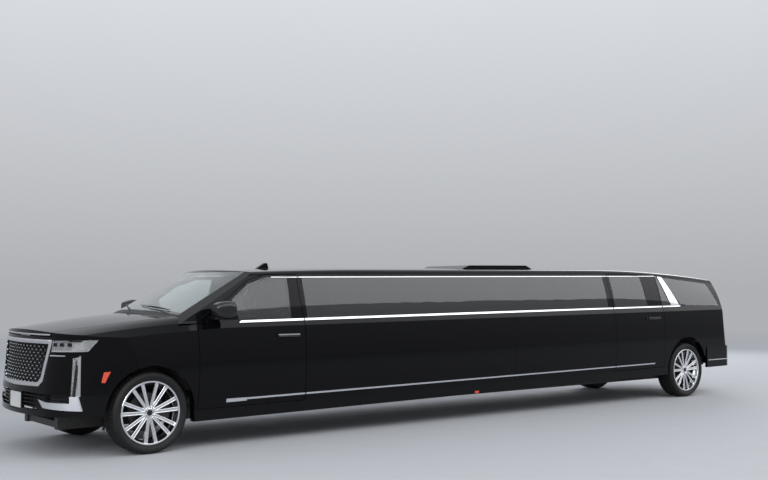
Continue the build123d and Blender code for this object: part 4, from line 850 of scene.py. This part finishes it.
def addLounge():
    pitch = lounge["length"] / lounge["count"]
    x, gap, rearX = lounge["front"], lounge["gap"], lounge["rearX"]
    lines = [x - pitch * k / 4 for k in (1, 2, 3)]
    blocks = [seatBlock((-pitch + gap, -gap, *lounge[z]), x, *lounge[y]) for y, z in (
        ("cushionY", "cushionZ"), ("backY", "backZ"))]
    cushion = addPad("benchCushion_1", *blocks[0], "lounge_seats", axis=0, lines=lines)
    back = addPad("benchBack_1", *blocks[1], "lounge_seats", axis=0, lines=lines, face=(0, 1, 0.2))
    for k in range(1, lounge["count"]):
        addAgain(cushion, f"benchCushion_{k + 1}", (-pitch * k, 0, 0), "lounge_seats")
        addAgain(back, f"benchBack_{k + 1}", (-pitch * k, 0, 0), "lounge_seats")
    rear = addPad(
        "rearCushion_1", *seatBlock(lounge["rearCushion"], rearX, *lounge["rearY"]), "lounge_seats",
        lines=lounge["rearLines"])
    rearBack = addPad(
        "rearBack_1", *seatBlock(lounge["rearBack"], rearX, *lounge["rearY"]), "lounge_seats",
        lean=frontSeat["lean"], lines=lounge["rearLines"], face=(1, 0, 0.2))
    for k in (1, 2):
        addAgain(rear, f"rearCushion_{k + 1}", (0, -lounge["rearPitch"] * k, 0), "lounge_seats")
        addAgain(rearBack, f"rearBack_{k + 1}", (0, -lounge["rearPitch"] * k, 0), "lounge_seats")
    bases = [
        seatBlock((-lounge["length"], 0, *lounge["baseZ"]), x, *lounge["baseY"]),
        seatBlock(lounge["rearBase"], rearX, -lounge["rearBaseHalf"], lounge["rearBaseHalf"]),
    ]
    for number, (low, high) in enumerate(bases):
        base = startBox(low, high)
        pick(base, "FACE", lambda middle, normal: max(normal.x, normal.y) > 0.9)
        bpy.ops.mesh.inset(thickness=0.03, depth=-0.006)
        editAll(base)
        bpy.ops.mesh.bevel(offset=0.004, segments=2)
        leaveEdit()
        finishPiece(base, f"benchBase_{number + 1}", "cabin_trim", "root")


addFrontSeats()
addLounge()
print("seats done")


# Lamps: dark modules, a bright lower edge and a dark brow on each headlamp, a dark band on each running lamp
lamp = {
    "modules": (0.690, 0.760, 0.825), "moduleSize": (0.006, 0.046, 0.034), "z": 1.112, "inner": 0.655,
    "edgeEnd": 0.945, "edgeZ": (1.045, 1.057), "browEnd": 0.90, "browZ": (1.138, 1.153),
    "bandY": (0.879, 0.895), "bandZ": (0.508, 0.965),
    "moduleLift": 0.001, "edgeThick": 0.003, "darkThick": 0.002,
}


def addModules():
    for number, y in enumerate(lamp["modules"], 1):
        place, normal = castOn("headlamps", (aheadX, y, lamp["z"]), (-1, 0, 0))
        size = lamp["moduleSize"]
        block = startBox([-k / 2 for k in size], [k / 2 for k in size])
        pickFacing(block, 0)
        bpy.ops.mesh.inset(thickness=0.005, depth=0)
        bpy.ops.mesh.inset(thickness=0.001, depth=-0.003)
        leaveEdit()
        turn = Matrix.Rotation(atan2(normal.y, normal.x), 4, "Z")
        for side, label in ((1, "left"), (-1, "right")):
            twin = copyPiece(block, place + normal * lamp["moduleLift"], turn)
            if side < 0:
                twin = mirrorOf(twin)
            finishPiece(twin, f"lampModule_{label}_{number}", "grille_black", "root", "lamp_dark", 25)
        bpy.data.objects.remove(block)


# A strip laid on a node: two lines of points cast onto it are bridged and raised by the thickness
def castStrip(node, lows, highs, direction, thickness):
    heading = Vector(direction)
    strips = []
    for places in (lows, highs):
        hits = [castOn(node, place, heading)[0] for place in places]
        strips.append(startLine([hit for hit in hits if hit is not None]))
    strip = joinPieces(strips)
    editAll(strip)
    bpy.ops.mesh.bridge_edge_loops()
    bpy.ops.mesh.select_all(action="SELECT")
    bpy.ops.mesh.extrude_region_move(TRANSFORM_OT_translate={"value": -heading * thickness})
    closeShell()
    return strip


def mirrorOf(piece):
    twin = mirrorPiece(piece)
    bpy.data.objects.remove(piece)
    return twin


def onBothSides(piece, name, slotName, bodies, finish=None, angle=35):
    twin = mirrorPiece(piece)
    finishPiece(piece, f"{name}_left", slotName, bodies[0], finish, angle)
    finishPiece(twin, f"{name}_right", slotName, bodies[1], finish, angle)


def spread(first, last, count):
    return [first + (last - first) * k / (count - 1) for k in range(count)]


root = ("root", "root")


def addNoseStrip(name, node, slotName, rows, thickness):
    lines = [[(aheadX, y, z) for y in ys for z in zs] for ys, zs in rows]
    onBothSides(castStrip(node, *lines, (-1, 0, 0), thickness), name, slotName, root)


edgeYs = spread(lamp["inner"], lamp["edgeEnd"], 12)
browYs = spread(lamp["inner"], lamp["browEnd"], 10)
bandZs = spread(*lamp["bandZ"], 12)
addNoseStrip("lampEdge", "headlamps", "chrome_trim", [
    (edgeYs, [z]) for z in lamp["edgeZ"]], lamp["edgeThick"])
addNoseStrip("lampBrow", "headlamps", "grille_black", [
    (browYs, [z]) for z in lamp["browZ"]], lamp["darkThick"])
addNoseStrip("runningLampBand", "running_lamps", "grille_black", [
    ([y], bandZs) for y in lamp["bandY"]], lamp["darkThick"])
addModules()
print("lamps done")


# Front plate: a blank plate in a dark frame with two screws
plate = {
    "half": 0.150, "low": 0.462, "high": 0.617, "castZ": 0.54, "frame": 0.008,
    "frameDepth": 0.006, "blankX": (0.003, 0.0062), "screwX": 0.0072, "screwY": 0.0889, "screwZ": 0.602,
    "screwRadius": 0.0055, "screwDepth": 0.003,
}


def addPlate():
    x = castOn("front_bumper", (aheadX, 0, plate["castZ"]), (-1, 0, 0))[0].x
    back = startBox(
        (x, -plate["half"] - plate["frame"], plate["low"] - plate["frame"]),
        (x + plate["frameDepth"], plate["half"] + plate["frame"], plate["high"] + plate["frame"]))
    pickFacing(back, 0)
    bpy.ops.mesh.inset(thickness=plate["frame"] - 0.002, depth=-0.002)
    editAll(back)
    bpy.ops.mesh.bevel(offset=0.0012, segments=2)
    leaveEdit()
    finishPiece(back, "plateFrame", "dark_plastic", "root")
    rear, front = plate["blankX"]
    blank = startBox(
        (x + rear, -plate["half"], plate["low"]), (x + front, plate["half"], plate["high"]))
    pick(blank, "EDGE", lambda a, b: abs(a.x - b.x) > 0.001)
    bpy.ops.mesh.bevel(offset=0.012, segments=4)
    pickFacing(blank, 0)
    bpy.ops.mesh.inset(thickness=0.004, depth=-0.0008)
    leaveEdit()
    finishPiece(blank, "blankPlate", "dark_plastic", "root", "plate_white")
    for number, y in enumerate((-plate["screwY"], plate["screwY"])):
        place = (x + plate["screwX"], y, plate["screwZ"])
        screw = startCylinder(16, plate["screwRadius"], plate["screwDepth"], place, (0, pi / 2, 0))
        pickFacing(screw, 0)
        bpy.ops.mesh.inset(thickness=0.0025, depth=-0.001)
        leaveEdit()
        finishPiece(screw, f"plateScrew_{number + 1}", "chrome_trim", "root")


addPlate()


# Rear bumper: a bright strip low on each side
rearTrim = {"x": (-4.885, -5.475), "z": (0.538, 0.551), "besideY": 2, "thick": 0.002}
rearXs = spread(*rearTrim["x"], 14)
rearLines = [[(x, rearTrim["besideY"], z) for x in rearXs] for z in rearTrim["z"]]
rearStrip = castStrip("rear_bumper", *rearLines, (0, -1, 0), rearTrim["thick"])
onBothSides(rearStrip, "rearBrightStrip", "chrome_trim", root)


# Rear wheel housings: a rubber band joins each housing to its panel, and a strip closes the boot floor
housing = {
    "inner": 0.506, "outer": 0.534, "start": 0.900, "width": 0.038, "cutZ": 0.470,
    "stripLow": (-5.385, 0.896, 0.598), "stripHigh": (-4.858, 0.940, 0.612),
}


def addHousingSeals():
    inner, outer, width = housing["inner"], housing["outer"], housing["width"]
    rows = [(inner, 0), (inner, width), (outer, width), (outer, 0), (inner, 0)]
    band = spinSection(Vector((rearAxleX, housing["start"], tyreZ)), rows, 72)
    editAll(band)
    bpy.ops.mesh.bisect(
        plane_co=(0, 0, housing["cutZ"]), plane_no=(0, 0, 1), use_fill=True, clear_inner=True)
    leaveEdit()
    onBothSides(band, "housingBand", "tyre_rubber", root, "seal_rubber")
    strip = startBox(housing["stripLow"], housing["stripHigh"])
    pick(strip, "EDGE", lambda a, b: abs(a.x - b.x) > 0.1)
    bpy.ops.mesh.bevel(offset=0.003, segments=2)
    leaveEdit()
    onBothSides(strip, "bootFloorStrip", "cabin_trim", root)


addHousingSeals()


# Mirrors: a pane on the rear face of each
mirrorGlass = {
    "behindX": 3.0, "y": 1.135, "z": 1.44, "halfY": 0.072, "halfZ": 0.066, "corner": 0.03, "depth": 0.0025,
}


def addMirrorGlass():
    y, z, halfY, halfZ = [mirrorGlass[key] for key in ("y", "z", "halfY", "halfZ")]
    x = castOn("mirror_left", (mirrorGlass["behindX"], y, z), (1, 0, 0))[0].x
    pane = startBox((x - mirrorGlass["depth"], y - halfY, z - halfZ), (x, y + halfY, z + halfZ))
    pick(pane, "EDGE", lambda a, b: abs(a.x - b.x) > 0.001)
    bpy.ops.mesh.bevel(offset=mirrorGlass["corner"], segments=6)
    pick(pane, "FACE", lambda middle, normal: normal.x < -0.9)
    bpy.ops.mesh.inset(thickness=0.003, depth=-0.0008)
    leaveEdit()
    doors = ("front_door_left", "front_door_right")
    onBothSides(pane, "mirrorGlass", "chrome_trim", doors, "lamp_silver")


addMirrorGlass()


# Handles: a dark grip over each, cut down on the front doors so that their bright upper edge shows
gripCuts = {"rear_door": 0.0, "front_door": 0.012}
gripEdge = {"inside": 1.030, "proud": 0.0004, "sides": 0.002, "ends": 0.0015}


def addGrips():
    for door, cut in gripCuts.items():
        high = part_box(f"{door}_trim_left")[1]
        shape = nodes[f"{door}_trim_left"].data
        spots = [v.co for v in shape.vertices if v.co.y > gripEdge["inside"]]
        first, last = min(s.x for s in spots), max(s.x for s in spots)
        bottom, top = min(s.z for s in spots), max(s.z for s in spots)
        grip = startBox(
            (first - gripEdge["sides"], gripEdge["inside"], bottom - gripEdge["ends"]),
            (last + gripEdge["sides"], high.y + gripEdge["proud"], top - cut + gripEdge["ends"]))
        pick(grip, "EDGE", lambda a, b: abs(a.x - b.x) > 0.1)
        bpy.ops.mesh.bevel(offset=0.004, segments=3)
        leaveEdit()
        onBothSides(grip, f"{door}Grip", "grille_black", (f"{door}_left", f"{door}_right"))


addGrips()
print("mirrors and handles done")


# Wipers: an arm and a blade on each side of the windscreen, parked along its foot
wiper = {
    "pivots": (0.62, -0.02), "length": 0.60, "lift": 0.012, "z": 1.43, "rise": 0.045, "steps": 8,
    "startX": 5.0, "bladeRadius": 0.0045, "armRadius": 0.006,
    "arm": ((0, (0.03, 0.01, 0.004)), (2, (0.006, 0, 0.008)), (5, (0.002, 0, 0.008))),
}


def addWipers():
    for number, start in enumerate(wiper["pivots"]):
        line = []
        for k in range(wiper["steps"] + 1):
            y = start - wiper["length"] * k / wiper["steps"]
            z = wiper["z"] + wiper["rise"] * k / wiper["steps"]
            place, normal = castOn("windscreen", (wiper["startX"], y, z), (-1, 0, 0))
            if place is not None:
                line.append(place + normal * wiper["lift"])
        blade = thicken(startLine(line), wiper["bladeRadius"])
        finishPiece(blade, f"wiperBlade_{number + 1}", "dark_plastic", "root", angle=50)
        arm = thicken(startLine([line[k] + Vector(shift) for k, shift in wiper["arm"]]), wiper["armRadius"])
        finishPiece(arm, f"wiperArm_{number + 1}", "dark_plastic", "root", angle=50)


addWipers()
print("wipers done")


# Window seals: the edge of each opening is lifted off its panel and given a round section
seal = {"radius": 0.0035, "reach": 0.002, "outwards": 0.8, "inwards": 0.4, "facing": 0.1}


def addSeal(door, glass, side):
    low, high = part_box(glass)
    copy = nodes[door].copy()
    copy.data = nodes[door].data.copy()
    bpy.context.collection.objects.link(copy)
    copy.parent = None
    editAll(copy)
    bpy.ops.mesh.remove_doubles(threshold=0.00005)
    shape = bmesh.from_edit_mesh(copy.data)
    shape.normal_update()
    middle = (low + high) / 2
    kept = set()
    for edge in shape.edges:
        spot = (edge.verts[0].co + edge.verts[1].co) / 2
        inside = all(low[k] - seal["reach"] < spot[k] < high[k] + seal["reach"] for k in (0, 2))
        if not inside or len(edge.link_faces) != 2:
            continue
        tilts = sorted(face.normal.y * side for face in edge.link_faces)
        inward = min(edge.link_faces, key=lambda face: face.normal.y * side)
        facing = inward.normal.dot((middle - spot).normalized())
        if tilts[1] > seal["outwards"] and tilts[0] < seal["inwards"] and facing > seal["facing"]:
            kept.add(edge)
    bpy.ops.mesh.select_all(action="DESELECT")
    bpy.ops.mesh.select_mode(type="EDGE")
    for edge in shape.edges:
        edge.select_set(edge not in kept)
    bmesh.update_edit_mesh(copy.data)
    bpy.ops.mesh.delete(type="EDGE")
    editAll(copy)
    bpy.ops.mesh.remove_doubles(threshold=0.0005)
    leaveEdit()
    for key in list(copy.keys()):
        if key.startswith("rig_"):
            del copy[key]
    finishPiece(thicken(copy, seal["radius"]), f"seal_{glass}", "tyre_rubber", door, "seal_rubber", 60)


for label, side in (("left", 1), ("right", -1)):
    for door in ("front_door", "rear_door"):
        addSeal(f"{door}_{label}", f"{door}_glass_{label}", side)
print("seals done")


# Studio: a pale round floor that fades into an even backdrop, with soft light above, ahead and behind
studio = {
    "floorRadius": 60.0, "fadeStart": 13.0, "fadeEnd": 34.0, "floorColor": (0.50, 0.51, 0.53),
    "horizon": (0.42, 0.43, 0.45), "zenith": (0.92, 0.95, 1.0), "zenithRise": 0.5,
    "skyColor": (0.80, 0.84, 0.90), "skyStrength": 0.7,
    "lights": [
        ("lightAbove", (-6.0, 8.5, 8.5), (-6.0, 0.0, 0.8), (44.0, 6.0), 1300),
        ("lightFront", (12.5, 6.5, 5.0), (4.5, 0.5, 0.8), (5.0, 4.0), 300),
        ("lightBehind", (-13.0, -7.0, 5.5), (-4.0, 0.0, 0.9), (7.0, 4.0), 300),
    ],
}


def addFloor(settings):
    deselectAll()
    bpy.ops.mesh.primitive_circle_add(
        vertices=96, radius=settings["floorRadius"], fill_type="NGON", location=(0, 0, -0.0005))
    floor = bpy.context.object
    floor.name = "floor"
    bpy.ops.object.transform_apply(location=True)
    paint = newFinish("floorPaint", settings["floorColor"], 0.8)
    addGrain(paint, 3.0, 0.0002, 0.72, 0.86)
    tree = paint.node_tree
    place = addNode(tree, "ShaderNodeTexCoord")
    reach = addNode(tree, "ShaderNodeVectorMath", operation="LENGTH")
    fade = addNode(
        tree, "ShaderNodeMapRange", {"From Min": settings["fadeStart"], "From Max": settings["fadeEnd"]},
        interpolation_type="SMOOTHSTEP")
    clear = addNode(tree, "ShaderNodeBsdfTransparent")
    mix = addNode(tree, "ShaderNodeMixShader")
    wire(tree, [
        (place, "Object", reach, 0), (reach, "Value", fade, "Value"), (fade, "Result", mix, "Fac"),
        (tree.nodes["Principled BSDF"], "BSDF", mix, 1), (clear, "BSDF", mix, 2),
        (mix, "Shader", tree.nodes["Material Output"], "Surface"),
    ])
    floor.data.materials.append(paint)


def addLights(settings):
    for name, place, target, size, power in settings["lights"]:
        data = bpy.data.lights.new(name, "AREA")
        data.shape = "RECTANGLE"
        data.size, data.size_y = size
        data.energy = power
        light = bpy.data.objects.new(name, data)
        light.location = place
        light.rotation_euler = (Vector(target) - Vector(place)).to_track_quat("-Z", "Y").to_euler()
        bpy.context.collection.objects.link(light)


# The backdrop shows the lit floor's grey at and below the horizon and turns to white overhead
def addWorld(settings):
    world = bpy.data.worlds.new("studioSky")
    bpy.context.scene.world = world
    world.use_nodes = True
    tree = world.node_tree
    back = tree.nodes["Background"]
    back.inputs["Color"].default_value = (*settings["skyColor"], 1)
    back.inputs["Strength"].default_value = settings["skyStrength"]
    place = addNode(tree, "ShaderNodeTexCoord")
    split = addNode(tree, "ShaderNodeSeparateXYZ")
    rise = addNode(tree, "ShaderNodeMapRange", {"From Min": 0.0, "From Max": settings["zenithRise"]})
    ends = {"A": (*settings["horizon"], 1), "B": (*settings["zenith"], 1)}
    shade = addNode(tree, "ShaderNodeMix", ends, data_type="RGBA")
    shown = addNode(tree, "ShaderNodeBackground", {"Strength": 1.0})
    rays = addNode(tree, "ShaderNodeLightPath")
    either = addNode(tree, "ShaderNodeMath", operation="MAXIMUM")
    anyRay = addNode(tree, "ShaderNodeMath", operation="MAXIMUM")
    mix = addNode(tree, "ShaderNodeMixShader")
    wire(tree, [
        (place, "Generated", split, "Vector"), (split, "Z", rise, "Value"),
        (rise, "Result", shade, "Factor"), (shade, "Result", shown, "Color"),
        (rays, "Is Camera Ray", either, 0), (rays, "Is Glossy Ray", either, 1),
        (either, "Value", anyRay, 0), (rays, "Is Transmission Ray", anyRay, 1),
        (anyRay, "Value", mix, "Fac"), (back, "Background", mix, 1), (shown, "Background", mix, 2),
        (mix, "Shader", tree.nodes["World Output"], "Surface"),
    ])


addFloor(studio)
addLights(studio)
addWorld(studio)
print("studio lit")
